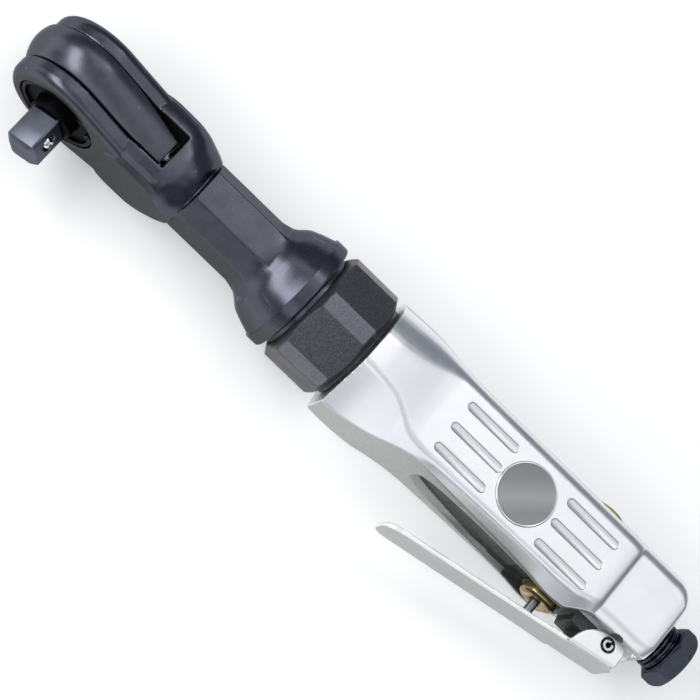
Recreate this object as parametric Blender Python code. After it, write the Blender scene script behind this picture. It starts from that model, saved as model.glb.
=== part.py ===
"""Air ratchet with a 3/8 inch square drive, lying on its side.

Units: the numbers below are millimetres and MM turns them into metres.
While it is built the tool axis is the X axis, the anvil turns about the Y axis
through the origin, and Z is up. At the end everything is moved so that the
origin is the centre of the bounding box at the resting plane.
"""

import math

import bpy
import bmesh
from mathutils import Matrix, Vector

MM = 0.001

# ---------------------------------------------------------------- dimensions
# ratchet head
HEAD_R = 17.3            # plan radius of the head round the anvil
HEAD_HALF_H = 12.1       # half thickness of the head at the anvil
BODY_HALF_H = 15.3       # half thickness behind the spot face
SLOT_HALF_H = 6.1        # half height of the slot for the yoke
SLOT_END_X = 31.2
NECK_X0, NECK_X1 = 43.5, 67.0
NECK_FLAT_Z, NECK_FLAT_HALF = 13.05, 5.05
NECK_FLAT_Y, NECK_SLANT_Z = 10.12, 6.04
COLLAR_R, COLLAR_X0, COLLAR_X1 = 18.8, 82.0, 86.3
SPIGOT_R = 15.6          # threaded spigots inside the clamp nut
HEAD_SPIGOT_X = 95.0

# drive
SQUARE = 9.525           # 3/8 inch square
SQUARE_TURN = math.radians(28.9)
SQUARE_TIP_Y = -26.8
SQUARE_BASE_Y = -14.0
ANVIL_R = 11.2
RECESS_R = 13.1

# crank and gears
CRANK_OFFSET = 1.5
MODULE = 0.6
SUN_TEETH, PLANET_TEETH, RING_TEETH = 9, 15, 39
PLANET_ORBIT = MODULE * (SUN_TEETH + PLANET_TEETH) / 2
GEAR_X0, GEAR_X1 = 79.6, 86.6

# clamp nut
NUT_X0, NUT_X1 = 88.0, 107.3
NUT_APOTHEM = 17.85
NUT_CORNER_R = 19.3
NUT_TURN = math.radians(33.9)

# motor
MOTOR_BORE_R = 11.9
ROTOR_R, ROTOR_X0, ROTOR_X1 = 9.0, 104.0, 143.0
CYLINDER_R, CYLINDER_BORE_R, CYLINDER_OFFSET = 11.6, 10.2, 0.8

# handle
HOUSING_X0, HOUSING_X1 = 108.6, 228.3
GRIP_Z = 15.3
GRIP_TOP = 15.2
GRIP_BOTTOM = -15.3
STEP_X = 207.0
GROOVE_PITCH, GROOVE_MID_Y, GROOVE_HALF = 7.8, -1.1, 1.35
GROOVES_FRONT, GROOVES_REAR = (140.0, 159.5), (180.0, 200.0)
GROOVE_DEPTH = 0.5
BADGE_X, BADGE_Y, BADGE_R = 169.4, -0.9, 9.0
VALVE_X = 195.0
VALVE_BORE_R = 5.6
INLET_Y = -1.0

# throttle lever
PIN_X, PIN_Y, PIN_R = 217.8, -14.1, 1.7
LEVER_OPEN = math.radians(10.5)
LEVER_LENGTH, LEVER_REAR = 74.3, 5.4
LEVER_INNER, LEVER_SHEET = 4.3, 1.5
LEVER_HALF_TIP, LEVER_HALF_REAR = 7.0, 8.4

# resting position
REST_Z = 19.3513         # height of the tool axis above the resting plane
CENTRE_X, CENTRE_Y = 110.4, -7.2715


# ---------------------------------------------------------------- materials
def material(name, colour, metallic, roughness):
    made = bpy.data.materials.new(name)
    made.use_nodes = True
    shader = made.node_tree.nodes["Principled BSDF"]
    shader.inputs["Base Color"].default_value = (*colour, 1.0)
    shader.inputs["Metallic"].default_value = metallic
    shader.inputs["Roughness"].default_value = roughness
    made.diffuse_color = (*colour, 1.0)
    return made


# ---------------------------------------------------------------- mesh helpers
def make(name, points, faces, mat):
    """An object from points in millimetres, its normals made to face out."""
    mesh = bpy.data.meshes.new(name)
    mesh.from_pydata([[c * MM for c in p] for p in points], [], faces)
    work = bmesh.new()
    work.from_mesh(mesh)
    bmesh.ops.recalc_face_normals(work, faces=work.faces)
    if work.calc_volume(signed=True) < 0:
        bmesh.ops.reverse_faces(work, faces=work.faces)
    work.to_mesh(mesh)
    work.free()
    obj = bpy.data.objects.new(name, mesh)
    if mat:
        mesh.materials.append(mat)
    bpy.context.scene.collection.objects.link(obj)
    return obj


def loft(name, rings, mat, closed=False):
    """Rings of equal length joined by quads, with a cap at each end."""
    count = len(rings[0])
    points = [p for ring in rings for p in ring]
    faces = []
    spans = len(rings) if closed else len(rings) - 1
    for i in range(spans):
        a, b = i * count, ((i + 1) % len(rings)) * count
        for k in range(count):
            n = (k + 1) % count
            faces.append((a + k, a + n, b + n, b + k))
    if not closed:
        faces.append(tuple(range(count)))
        faces.append(tuple(range((len(rings) - 1) * count, len(rings) * count)))
    return make(name, points, faces, mat)


def place(axis, along, u, v):
    """A point along one axis, u and v being the other two in cyclic order."""
    if axis == "X":
        return (along, u, v)
    if axis == "Y":
        return (v, along, u)
    return (u, v, along)


def turned(name, profile, mat, axis="X", centre=(0.0, 0.0, 0.0), sides=40, start=0.0):
    """A closed profile of (along, radius) turned about an axis."""
    rings, points, faces = [], [], []
    for along, radius in profile:
        if radius < 1e-6:
            rings.append([len(points)] * sides)
            points.append(place(axis, along, 0.0, 0.0))
            continue
        rings.append(list(range(len(points), len(points) + sides)))
        for k in range(sides):
            a = start + 2 * math.pi * k / sides
            points.append(place(axis, along, radius * math.cos(a), radius * math.sin(a)))
    for i in range(len(rings)):
        one, two = rings[i], rings[(i + 1) % len(rings)]
        for k in range(sides):
            n = (k + 1) % sides
            face = []
            for index in (one[k], one[n], two[n], two[k]):
                if index not in face:
                    face.append(index)
            if len(face) > 2:
                faces.append(tuple(face))
    points = [tuple(p[i] + centre[i] for i in range(3)) for p in points]
    return make(name, points, faces, mat)


def rod(name, r, a0, a1, mat, axis="X", centre=(0.0, 0.0, 0.0), sides=32, start=0.0):
    return turned(name, [(a0, 0), (a0, r), (a1, r), (a1, 0)], mat, axis, centre, sides, start)


def tube(name, r_in, r_out, a0, a1, mat, axis="X", centre=(0.0, 0.0, 0.0), sides=40):
    return turned(name, [(a0, r_in), (a0, r_out), (a1, r_out), (a1, r_in)], mat, axis, centre, sides)


def prism(name, outline, low, high, mat, axis="Z"):
    """A closed outline of (u, v) pushed along an axis. For Y the outline is (x, z)."""
    if axis == "Y":
        rings = [[(u, a, v) for u, v in outline] for a in (low, high)]
    else:
        rings = [[place(axis, a, u, v) for u, v in outline] for a in (low, high)]
    return loft(name, rings, mat)


def block(name, low, high, mat):
    outline = [(low[0], low[1]), (high[0], low[1]), (high[0], high[1]), (low[0], high[1])]
    return prism(name, outline, low[2], high[2], mat)


def combine(obj, other, operation):
    """Applies one exact Boolean and removes the other object."""
    modifier = obj.modifiers.new("combine", "BOOLEAN")
    modifier.operation = operation
    modifier.solver = "EXACT"
    modifier.object = other
    bpy.context.view_layer.update()
    graph = bpy.context.evaluated_depsgraph_get()
    mesh = bpy.data.meshes.new_from_object(obj.evaluated_get(graph))
    obj.modifiers.clear()
    old = obj.data
    obj.data = mesh
    bpy.data.meshes.remove(old)
    bpy.data.objects.remove(other)
    return obj


def cut(obj, *others):
    for other in others:
        combine(obj, other, "DIFFERENCE")
    return obj


def join(obj, *others):
    for other in others:
        combine(obj, other, "UNION")
    return obj


def transform(obj, matrix):
    obj.data.transform(matrix)
    return obj


def arc(cx, cy, r, a0, a1, count):
    return [
        (cx + r * math.cos(a0 + (a1 - a0) * k / (count - 1)), cy + r * math.sin(a0 + (a1 - a0) * k / (count - 1)))
        for k in range(count)
    ]


def capsule(x0, x1, y, half, count=9):
    """A slot outline running along X between two end extents."""
    left = arc(x0 + half, y, half, math.pi / 2, 1.5 * math.pi, count)
    right = arc(x1 - half, y, half, -math.pi / 2, math.pi / 2, count)
    return left + right


def plan_outline(radius, end_x, end_half, count=29):
    """The head seen along the anvil: a round nose and two straight tangents."""
    reach = math.hypot(end_x, end_half)
    tangent = math.atan2(end_half, end_x) + math.acos(radius / reach)
    nose = arc(0, 0, radius, tangent, 2 * math.pi - tangent, count)
    return [(end_x, end_half)] + nose + [(end_x, -end_half)]


# ---------------------------------------------------------------- gears
def involute_gear(teeth, addendum, dedendum, backlash, turn=0.0, flank=4):
    """Outline of an external gear as (u, v); angle 0 is the middle of a tooth."""
    pitch = MODULE * teeth / 2
    base = pitch * math.cos(math.radians(20))
    tip, root = pitch + addendum, pitch - dedendum

    def roll(r):
        phi = math.acos(min(1.0, base / r))
        return math.tan(phi) - phi

    half = math.pi / (2 * teeth) + roll(pitch) - backlash / (2 * pitch)
    start = max(base, root)
    side = []
    if root < base:
        side.append((root, half))
    for k in range(flank):
        r = start + (tip - start) * k / (flank - 1)
        side.append((r, half - roll(r)))
    outline = []
    for tooth in range(teeth):
        middle = turn + 2 * math.pi * tooth / teeth
        for r, a in side:
            outline.append((r * math.cos(middle - a), r * math.sin(middle - a)))
        for r, a in reversed(side):
            outline.append((r * math.cos(middle + a), r * math.sin(middle + a)))
    return outline


# ---------------------------------------------------------------- sections
def mirrored_ring(quarter, x):
    """Four copies of (y, z) points that run from the side's middle to the top."""
    top = quarter
    ring = [(y, z) for y, z in top]
    ring += [(y, -z) for y, z in reversed(top[:-1])]
    ring += [(-y, -z) for y, z in top[1:]]
    ring += [(-y, z) for y, z in reversed(top[1:-1])]
    return [(x, y, z) for y, z in ring]


def round_quarter(r):
    angles = (0, 12, 22, 38, 55, 66, 78, 90)
    return [(r * math.sin(math.radians(a)), r * math.cos(math.radians(a))) for a in angles]


def neck_quarter():
    return [
        (0, NECK_FLAT_Z), (2.6, NECK_FLAT_Z), (NECK_FLAT_HALF, NECK_FLAT_Z), (7.6, 9.53),
        (NECK_FLAT_Y, NECK_SLANT_Z), (NECK_FLAT_Y, 4.0), (NECK_FLAT_Y, 2.0), (NECK_FLAT_Y, 0),
    ]


def body_quarter(side, high, crease=0.0):
    return [
        (0, side), (3.4, side), (6.6, side - 0.25), (9.2, side - 0.8),
        (11.3 - crease, side - 2.0), (high - 1.1, side * 0.58), (high - 0.3, side * 0.3), (high, 0),
    ]


def blend(a, b, t):
    return [tuple(p[i] * (1 - t) + q[i] * t for i in range(2)) for p, q in zip(a, b)]


# half sections of the handle: x, top y, top z, shoulder y, side z, crease y, bottom y, bottom z
HANDLE = [
    (108.6, 18.6, 2.0, 2.0, 18.6, -6.3, -20.5, 6.5),
    (113.0, 18.7, 2.5, 2.5, 18.5, -6.3, -20.6, 6.8),
    (118.0, 18.5, 4.0, 3.5, 17.9, -6.4, -20.1, 8.2),
    (122.5, 18.1, 5.5, 5.0, 17.1, -6.8, -19.4, 9.4),
    (126.5, 17.4, 6.8, 6.8, 16.3, -8.2, -18.6, 10.6),
    (130.5, 16.5, 8.0, 8.6, 15.6, -10.8, -17.4, 11.8),
    (134.5, 15.8, 8.8, 9.8, GRIP_Z, -12.2, -16.4, 12.7),
    (139.0, 15.3, 9.2, 10.3, GRIP_Z, -12.8, -15.6, 13.2),
    (145.0, GRIP_TOP, 9.2, 10.3, GRIP_Z, -12.9, GRIP_BOTTOM, 12.6),
    (165.0, GRIP_TOP, 9.2, 10.3, GRIP_Z, -12.7, GRIP_BOTTOM, 10.8),
    (184.0, GRIP_TOP, 9.2, 10.3, GRIP_Z, -12.3, -15.6, 9.8),
    (193.0, GRIP_TOP, 9.2, 10.3, GRIP_Z, -11.9, -16.3, 9.8),
    (199.0, GRIP_TOP, 9.2, 10.3, GRIP_Z, -11.0, -16.0, 10.4),
    (203.5, GRIP_TOP, 9.2, 10.3, GRIP_Z, -9.9, -13.6, 11.6),
    (206.2, 15.15, 9.2, 10.3, GRIP_Z, -9.2, -12.2, 12.6),
    (207.6, 15.1, 9.6, 10.6, 14.2, -8.9, -11.8, 12.4),
    (215.0, 15.1, 9.6, 10.6, 14.1, -8.7, -11.5, 12.4),
    (222.0, 15.1, 9.6, 10.6, 14.0, -8.6, -11.5, 12.3),
    (224.4, 14.6, 9.6, 10.2, 14.0, -8.5, -11.4, 12.2),
    (226.4, 13.3, 9.4, 9.2, 13.8, -8.4, -11.2, 11.9),
    (227.7, 11.4, 9.0, 7.8, 13.4, -8.0, -10.8, 11.3),
    (228.3, 9.4, 8.4, 6.4, 12.6, -7.4, -10.0, 10.4),
]


def handle_ring(row):
    x, top, top_z, shoulder, side, crease, bottom, bottom_z = row
    half = [(top, 0.0), (top, top_z)]
    for a in (22.5, 45.0, 67.5):
        half.append((
            shoulder + (top - shoulder) * math.cos(math.radians(a)),
            top_z + (side - top_z) * math.sin(math.radians(a)),
        ))
    half += [(shoulder, side), (0.5 * (shoulder + crease), side), (crease + 0.8, side)]
    half.append((crease - 0.6, side - 0.35))
    half += [(bottom + 0.25, bottom_z + 0.35), (bottom, bottom_z - 0.3), (bottom, 0.0)]
    ring = half + [(y, -z) for y, z in reversed(half[1:-1])]
    return [(x, y, z) for y, z in ring]


# ---------------------------------------------------------------- ratchet head
def ratchet_housing(mat):
    layers = [(-HEAD_HALF_H, 3.4), (-HEAD_HALF_H + 0.4, 2.0), (-HEAD_HALF_H + 1.4, 0.8), (-HEAD_HALF_H + 3.2, 0.0)]
    layers += [(-y, inset) for y, inset in reversed(layers)]
    rings = [
        [(x, y, z) for x, z in plan_outline(HEAD_R - inset, 27.0, 11.2 - inset)]
        for y, inset in layers
    ]
    head = loft("ratchet_housing", rings, mat)

    neck, dome = neck_quarter(), body_quarter(13.3, 13.9, 0.4)
    rings = [
        mirrored_ring(body_quarter(12.6, 14.4), 17.0),
        mirrored_ring(body_quarter(12.35, BODY_HALF_H), 20.5),
        mirrored_ring(body_quarter(12.0, BODY_HALF_H - 0.1), 26.0),
        mirrored_ring(body_quarter(12.5, 14.8, 0.1), 31.5),
        mirrored_ring(dome, 36.5),
        mirrored_ring(blend(dome, neck, 0.35), 40.5),
        mirrored_ring(blend(dome, neck, 0.8), 42.7),
        mirrored_ring(neck, NECK_X0),
        mirrored_ring(neck, NECK_X1),
        mirrored_ring(blend(neck, round_quarter(13.6), 0.6), 70.0),
        mirrored_ring(round_quarter(15.3), 74.0),
        mirrored_ring(round_quarter(17.4), 78.4),
        mirrored_ring(round_quarter(COLLAR_R), COLLAR_X0),
        mirrored_ring(round_quarter(COLLAR_R), COLLAR_X1 - 0.8),
        mirrored_ring(round_quarter(17.7), COLLAR_X1),
        mirrored_ring(round_quarter(SPIGOT_R), COLLAR_X1 + 0.02),
        mirrored_ring(round_quarter(SPIGOT_R), HEAD_SPIGOT_X),
    ]
    join(head, loft("body", rings, mat))
    # the spot face keeps the drive side flat round the recess
    cut(head, rod("spot", 19.6, -20, -HEAD_HALF_H, mat, "Y", sides=48))
    cut(head, block("slot", (-30, -SLOT_HALF_H, -30), (SLOT_END_X, SLOT_HALF_H, 30), mat))
    # anvil bores, open at both faces, and the stepped crank and gear bore
    cut(head, turned("anvil_bore", [
        (-16, 0), (-16, RECESS_R), (-9.5, RECESS_R), (-9.5, 11.6), (0, 11.6),
        (0, 10.7), (16, 10.7), (16, 0),
    ], mat, "Y"))
    cut(head, turned("crank_bore", [
        (20, 0), (20, 6.1), (43, 6.1), (43, 7.7), (74, 7.7), (74, 12.9), (79.3, 12.9),
        (79.3, 14.3), (100, 14.3), (100, 0),
    ], mat))
    return head


def yoke(mat):
    layers = [(-5.8, 16.9, 10.4), (-3.6, 18.4, 11.3), (0.0, 19.2, 11.8), (3.6, 18.4, 11.3), (5.8, 16.9, 10.4)]
    rings = [[(x, y, z) for x, z in plan_outline(r, 29.8, half)] for y, r, half in layers]
    body = loft("yoke", rings, mat)
    for sign in (1, -1):
        wedge = [(9.0, 5.85), (31.0, 3.35), (31.0, 12.0), (9.0, 12.0)]
        cut(body, prism("wedge", [(x, sign * y) for x, y in wedge], -30, 30, mat))
    teeth = 36
    ratchet = []
    for k in range(teeth):
        a = 2 * math.pi * k / teeth
        step = 2 * math.pi / teeth
        ratchet += [(11.7 * math.cos(a), 11.7 * math.sin(a)),
                    (12.7 * math.cos(a + 0.5 * step), 12.7 * math.sin(a + 0.5 * step))]
    cut(body, prism("teeth", ratchet, -8, 8, mat, "Y"))
    fork = [(17.5, -7.3), (32, -7.3), (32, 7.3), (17.5, 7.3)]
    cut(body, prism("fork", fork, -8, 8, mat, "Y"))
    return body


def square_outline(half, corner, x=0.0, z=0.0):
    """The drive's square with broken corners, turned to its resting angle, as (x, z)."""
    points = []
    for k in range(4):
        a = k * math.pi / 2
        for u, v in ((half, -half + corner), (half, half - corner)):
            points.append((u * math.cos(a) - v * math.sin(a), u * math.sin(a) + v * math.cos(a)))
    c, s = math.cos(SQUARE_TURN), math.sin(SQUARE_TURN)
    return [(x + u * c - v * s, z + u * s + v * c) for u, v in points]


def anvil(mat):
    body = turned("anvil", [
        (-14.6, 0), (-14.6, 6.2), (-13.8, 7.0), (-9.3, 7.0), (-9.3, 11.3), (-6.2, 11.3),
        (-6.1, ANVIL_R), (5.8, ANVIL_R), (5.9, 10.4), (9.4, 10.4), (9.4, 0),
    ], mat, "Y", sides=48)
    half = SQUARE / 2
    layers = [(-13.0, half, 0.5), (SQUARE_TIP_Y + 0.9, half, 0.5), (SQUARE_TIP_Y, half - 0.6, 0.7)]
    rings = [[(x, y, z) for x, z in square_outline(h, c)] for y, h, c in layers]
    join(body, loft("square", rings, mat))
    nx, nz = math.cos(SQUARE_TURN), math.sin(SQUARE_TURN)
    hole = rod("ball_hole", 2.25, -2.6, 8.0, mat, "X", sides=24)
    transform(hole, Matrix.Translation((0, -20.0 * MM, 0)) @ Matrix.Rotation(-SQUARE_TURN, 4, "Y"))
    cut(body, hole)
    for side in (0.0, math.pi):
        pocket = arc(0, 0, 6.9, side - 0.70, side + 0.70, 9) + arc(0, 0, 14.0, side + 0.70, side - 0.70, 9)
        cut(body, prism("pocket", pocket, -4.6, 4.6, mat, "Y"))
    cut(body, rod("stem_bore", 3.3, 2.0, 12.0, mat, "Y", sides=24))
    return body


def pawl(name, side, mat):
    outline = arc(0, 0, 7.3, side - 0.56, side + 0.56, 9) + arc(0, 0, 10.9, side + 0.60, side - 0.60, 9)
    body = prism(name, outline, -4.2, 4.2, mat, "Y")
    cut(body, rod("pin_bore", 1.35, -6, 6, mat, "Y", (9.0 * math.cos(side), 0, 9.0 * math.sin(side)), 20))
    return body


def detent(ball_mat, spring_mat):
    ball_r = 2.05
    profile = [(-ball_r * math.cos(math.pi * k / 10), ball_r * math.sin(math.pi * k / 10)) for k in range(11)]
    profile = [(a, 0.0 if r < 1e-6 else r) for a, r in profile]
    ball = turned("detent_ball", profile, ball_mat, "X", (3.45, 0, 0), 20)
    spring = coil("detent_spring", 1.5, 0.22, -2.4, 1.0, 3.0, spring_mat)
    turn = Matrix.Translation((0, -20.0 * MM, 0)) @ Matrix.Rotation(-SQUARE_TURN, 4, "Y")
    transform(ball, turn)
    transform(spring, turn)
    return ball, spring


def coil(name, radius, wire, a0, a1, turns, mat, axis="X", centre=(0.0, 0.0, 0.0), per_turn=12, sides=6):
    """A round-wire spring between two stations."""
    count = int(turns * per_turn) + 1
    rings = []
    rise = (a1 - a0 - 2 * wire)
    for k in range(count):
        t = k / (count - 1)
        a = 2 * math.pi * turns * t
        along = a0 + wire + rise * t
        ring = []
        for j in range(sides):
            b = 2 * math.pi * j / sides
            r = radius + wire * math.cos(b)
            p = place(axis, along + wire * math.sin(b), r * math.cos(a), r * math.sin(a))
            ring.append(tuple(p[i] + centre[i] for i in range(3)))
        rings.append(ring)
    return loft(name, rings, mat)


def retaining_ring(mat):
    gap = math.radians(16)
    start = math.radians(35)
    outer = arc(0, 0, 12.7, start + gap, start + 2 * math.pi - gap, 33)
    inner = arc(0, 0, 11.5, start + 2 * math.pi - gap, start + gap, 33)
    body = prism("retaining_ring", outer + inner, -11.6, -10.7, mat, "Y")
    for sign in (1, -1):
        a = start + sign * (gap + 0.07)
        ear = rod("ear", 1.35, -11.6, -10.7, mat, "Y", (11.3 * math.cos(a), 0, 11.3 * math.sin(a)), 16)
        join(body, ear)
    return body


def reverse_lever(mat):
    disc = turned("reverse_lever", [
        (3.0, 0), (3.0, 3.0), (9.8, 3.0), (9.8, 9.6), (11.6, 9.6), (12.2, 9.0), (12.2, 0),
    ], mat, "Y")
    grip = capsule(-7.5, 7.5, 0.0, 2.2, 7)
    return join(disc, prism("bar", grip, 11.5, 14.4, mat, "Y"))


# ---------------------------------------------------------------- gear train
def crankshaft(mat):
    shaft = turned("crankshaft", [
        (31.8, 0), (31.8, 5.6), (42.5, 5.6), (42.5, 5.0), (73.0, 5.0), (73.0, 7.3),
        (74.3, 7.3), (74.3, 12.4), (78.8, 12.4), (78.8, 0),
    ], mat)
    join(shaft, rod("eccentric", 2.3, 22.6, 33.0, mat, "X", (0, CRANK_OFFSET, 0), 28))
    for k in range(3):
        a = 2 * math.pi * k / 3
        centre = (0, PLANET_ORBIT * math.cos(a), PLANET_ORBIT * math.sin(a))
        join(shaft, rod("planet_pin", 1.75, 78.0, 87.2, mat, "X", centre, 24))
    return shaft


def ring_gear(mat):
    body = rod("ring_gear", 14.1, 79.6, 93.6, mat, sides=48)
    teeth = involute_gear(RING_TEETH, 0.62, 0.36, -0.16)
    cut(body, prism("teeth", teeth, 70, 100, mat, "X"))
    return body


def planet(name, angle, mat):
    centre = (0, PLANET_ORBIT * math.cos(angle), PLANET_ORBIT * math.sin(angle))
    turn = angle + math.pi + math.pi / PLANET_TEETH
    outline = [(u + centre[1], v + centre[2]) for u, v in involute_gear(PLANET_TEETH, 0.42, 0.62, 0.14, turn)]
    body = prism(name, outline, GEAR_X0, GEAR_X1, mat, "X")
    return cut(body, rod("bore", 1.95, 70, 100, mat, "X", centre, 24))


# ---------------------------------------------------------------- clamp nut
def clamp_nut(mat):
    corner = []
    for k in range(6):
        middle = NUT_TURN + k * math.pi / 3
        half = 7.55
        for side in (-half, half):
            corner.append((
                NUT_APOTHEM * math.cos(middle) - side * math.sin(middle),
                NUT_APOTHEM * math.sin(middle) + side * math.cos(middle),
            ))
    # angles run from +Z towards -Y
    outline = [(-v, u) for u, v in corner]
    body = prism("clamp_nut", outline, NUT_X0, NUT_X1, mat, "X")
    trim = turned("trim", [
        (NUT_X0 - 1, 0), (NUT_X0 - 1, 17.2), (NUT_X0, 17.2), (NUT_X0 + 1.4, NUT_CORNER_R + 0.2),
        (NUT_X1 - 1.4, NUT_CORNER_R + 0.2), (NUT_X1, 17.2), (NUT_X1 + 1, 17.2), (NUT_X1 + 1, 0),
    ], mat, sides=72)
    combine(body, trim, "INTERSECT")
    return cut(body, rod("thread", SPIGOT_R + 0.25, 80, 120, mat, sides=48))


# ---------------------------------------------------------------- motor
def plate(name, x0, x1, mat):
    return turned(name, [
        (x0, 6.7), (x0, CYLINDER_R), (x1, CYLINDER_R), (x1, 4.2), (x1 - 1.2, 4.2), (x1 - 1.2, 6.7),
    ], mat)


def rotor(mat):
    body = turned("rotor", [
        (94.4, 0), (94.4, 3.0), (ROTOR_X0, 3.0), (ROTOR_X0, ROTOR_R), (ROTOR_X1, ROTOR_R),
        (ROTOR_X1, 3.0), (150.4, 3.0), (150.4, 0),
    ], mat)
    pinion = prism("pinion", involute_gear(SUN_TEETH, 0.42, 0.55, 0.14), 79.9, 95.0, mat, "X")
    join(body, pinion)
    for k in range(4):
        slot = block("slot", (ROTOR_X0 - 1, 4.4, -0.8), (ROTOR_X1 + 1, 12.0, 0.8), mat)
        transform(slot, Matrix.Rotation(k * math.pi / 2 + math.pi / 4, 4, "X"))
        cut(body, slot)
    return body


def vane(index, mat):
    body = block("vane_%d" % (index + 1), (ROTOR_X0 + 0.3, 4.7, -0.55), (ROTOR_X1 - 0.3, 8.9, 0.55), mat)
    return transform(body, Matrix.Rotation(index * math.pi / 2 + math.pi / 4, 4, "X"))


def cylinder(mat):
    body = rod("cylinder", CYLINDER_R, 103.4, 143.6, mat, sides=48)
    return cut(body, rod("bore", CYLINDER_BORE_R, 100, 150, mat, "X", (0, CYLINDER_OFFSET, 0), 48))


# ---------------------------------------------------------------- handle
def motor_housing(mat):
    body = loft("motor_housing", [handle_ring(row) for row in HANDLE], mat)
    join(body, rod("spigot", SPIGOT_R, 98.4, 112.0, mat, sides=48))
    # tongue that carries the lever pin
    tongue = [
        (196.0, -9.0), (196.0, -15.7), (209.0, -16.0), (212.0, -17.2), (217.0, -17.5), (220.0, -17.0),
        (223.5, -15.9), (225.6, -13.2), (226.0, -9.0),
    ]
    for sign in (1, -1):
        low, high = sorted((sign * 6.6, sign * 9.3))
        cut(body, block("ear_relief", (204.5, -25, low), (226.2, -9.8, high), mat))
    join(body, prism("tongue", tongue, -6.6, 6.6, mat))

    # channel under the lever, rounded at its front, and the pocket behind the valve
    plan = [(143.6, 3.0), (144.3, 6.0), (146.2, 8.6), (150.0, 10.4), (157.0, 10.2), (166.0, 9.4), (184.0, 8.6), (205.0, 8.4)]
    cut(body, prism("channel", plan + [(x, -z) for x, z in reversed(plan)], -30, -13.2, mat, "Y"))
    plan = [(154.0, 5.0), (157.0, 8.6), (166.0, 8.8), (184.0, 8.0), (203.4, 7.8), (204.6, 5.2), (210.6, 5.2)]
    cut(body, prism("pocket", plan + [(x, -z) for x, z in reversed(plan)], -30, -12.5, mat, "Y"))
    cut(body, rod("pin_hole", PIN_R + 0.02, -12, 12, mat, "Z", (PIN_X, PIN_Y, 0), 24))
    # motor bore, air passage, valve bore and inlet bore
    cut(body, turned("bores", [
        (90, 0), (90, MOTOR_BORE_R), (151.5, MOTOR_BORE_R), (151.5, 2.4), (200, 2.4), (200, 0),
    ], mat))
    cut(body, turned("valve_bore", [
        (-20, 0), (-20, VALVE_BORE_R), (20, VALVE_BORE_R), (20, 0),
    ], mat, "Y", (VALVE_X, 0, 0), 32))
    cut(body, turned("inlet_bore", [
        (VALVE_X, 0), (VALVE_X, 4.6), (211, 4.6), (211, 7.8), (240, 7.8), (240, 0),
    ], mat, "X", (0, INLET_Y, 0), 40))
    # exhaust ports in the recess
    for x in (164.0, 170.0, 176.0):
        cut(body, rod("exhaust", 1.3, -20, -1.5, mat, "Y", (x, 0, 0), 14))
    # shallow grooves on both side faces
    for sign in (1, -1):
        for x0, x1 in (GROOVES_FRONT, GROOVES_REAR):
            for row in (-1, 0, 1):
                y = GROOVE_MID_Y + row * GROOVE_PITCH
                low, high = sorted((sign * (GRIP_Z - GROOVE_DEPTH), sign * (GRIP_Z + 3)))
                cut(body, prism("groove", capsule(x0, x1, y, GROOVE_HALF), low, high, mat))
    # seat for the badge
    cut(body, rod("seat", BADGE_R + 0.15, GRIP_Z - 0.3, GRIP_Z + 3, mat, "Z", (BADGE_X, BADGE_Y, 0), 40))
    return body


def badge(mat):
    return turned("badge", [
        (GRIP_Z - 0.1, 0), (GRIP_Z - 0.1, BADGE_R), (GRIP_Z + 0.25, BADGE_R), (GRIP_Z + 0.5, BADGE_R - 0.35),
        (GRIP_Z + 0.5, 0),
    ], mat, "Z", (BADGE_X, BADGE_Y, 0), 48)


def inlet_bushing(mat):
    profile = [(212.0, 5.2), (212.0, 7.0)]
    x = 227.0
    while x < 233.0:
        profile += [(x, 7.0), (x + 0.35, 7.55), (x + 0.75, 7.55), (x + 1.1, 7.0)]
        x += 1.5
    profile += [(234.0, 7.0), (234.0, 8.4), (234.4, 8.4), (234.4, 5.2)]
    body = turned("inlet_bushing", profile, mat, "X", (0, INLET_Y, 0), 32)
    hexagon = [
        (INLET_Y + 9.9 * math.cos(math.radians(60 * k + 22)), 9.9 * math.sin(math.radians(60 * k + 22)))
        for k in range(6)
    ]
    head = prism("hex", hexagon, 234.2, 240.0, mat, "X")
    combine(head, turned("trim", [
        (233, 0), (233, 8.9), (234.2, 8.9), (235.0, 9.8), (238.2, 9.8), (239.3, 9.2), (240.0, 8.5), (242, 8.5), (242, 0),
    ], mat, "X", (0, INLET_Y, 0), 48), "INTERSECT")
    join(body, head)
    return cut(body, rod("bore", 5.75, 214, 250, mat, "X", (0, INLET_Y, 0), 32))


# ---------------------------------------------------------------- throttle lever
def throttle_lever(mat):
    """Built closed, with the pin at the origin and the tip towards -X, then opened."""
    outer, inner = -LEVER_INNER - LEVER_SHEET, -LEVER_INNER
    plan = [(LEVER_REAR, LEVER_HALF_REAR - 1.6), (LEVER_REAR - 1.6, LEVER_HALF_REAR)]
    plan += [(-12.0, LEVER_HALF_REAR), (-22.0, 7.6)]
    plan += [(-LEVER_LENGTH + 5.0, LEVER_HALF_TIP), (-LEVER_LENGTH + 1.6, LEVER_HALF_TIP - 1.4), (-LEVER_LENGTH, 3.4)]
    plan += [(x, -z) for x, z in reversed(plan)]
    body = prism("throttle_lever", plan, outer, inner, mat, "Y")
    ears = [
        (-11.0, inner - 0.5), (-9.4, -1.6), (-7.6, 0.6), (-5.2, 2.1), (-2.2, 2.9), (0.8, 3.2), (3.4, 3.0),
        (LEVER_REAR, 1.6), (LEVER_REAR + 0.1, -1.0), (LEVER_REAR - 0.4, inner - 0.5),
    ]
    for sign in (1, -1):
        low, high = sorted((sign * (LEVER_HALF_REAR - LEVER_SHEET), sign * (LEVER_HALF_REAR - 0.001)))
        ear = prism("ear", ears, low, high, mat)
        cut(ear, rod("hole", PIN_R + 0.12, -12, 12, mat, "Z", sides=24))
        join(body, ear)
    return transform(body, Matrix.Translation((PIN_X * MM, PIN_Y * MM, 0)) @ Matrix.Rotation(LEVER_OPEN, 4, "Z"))


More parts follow.
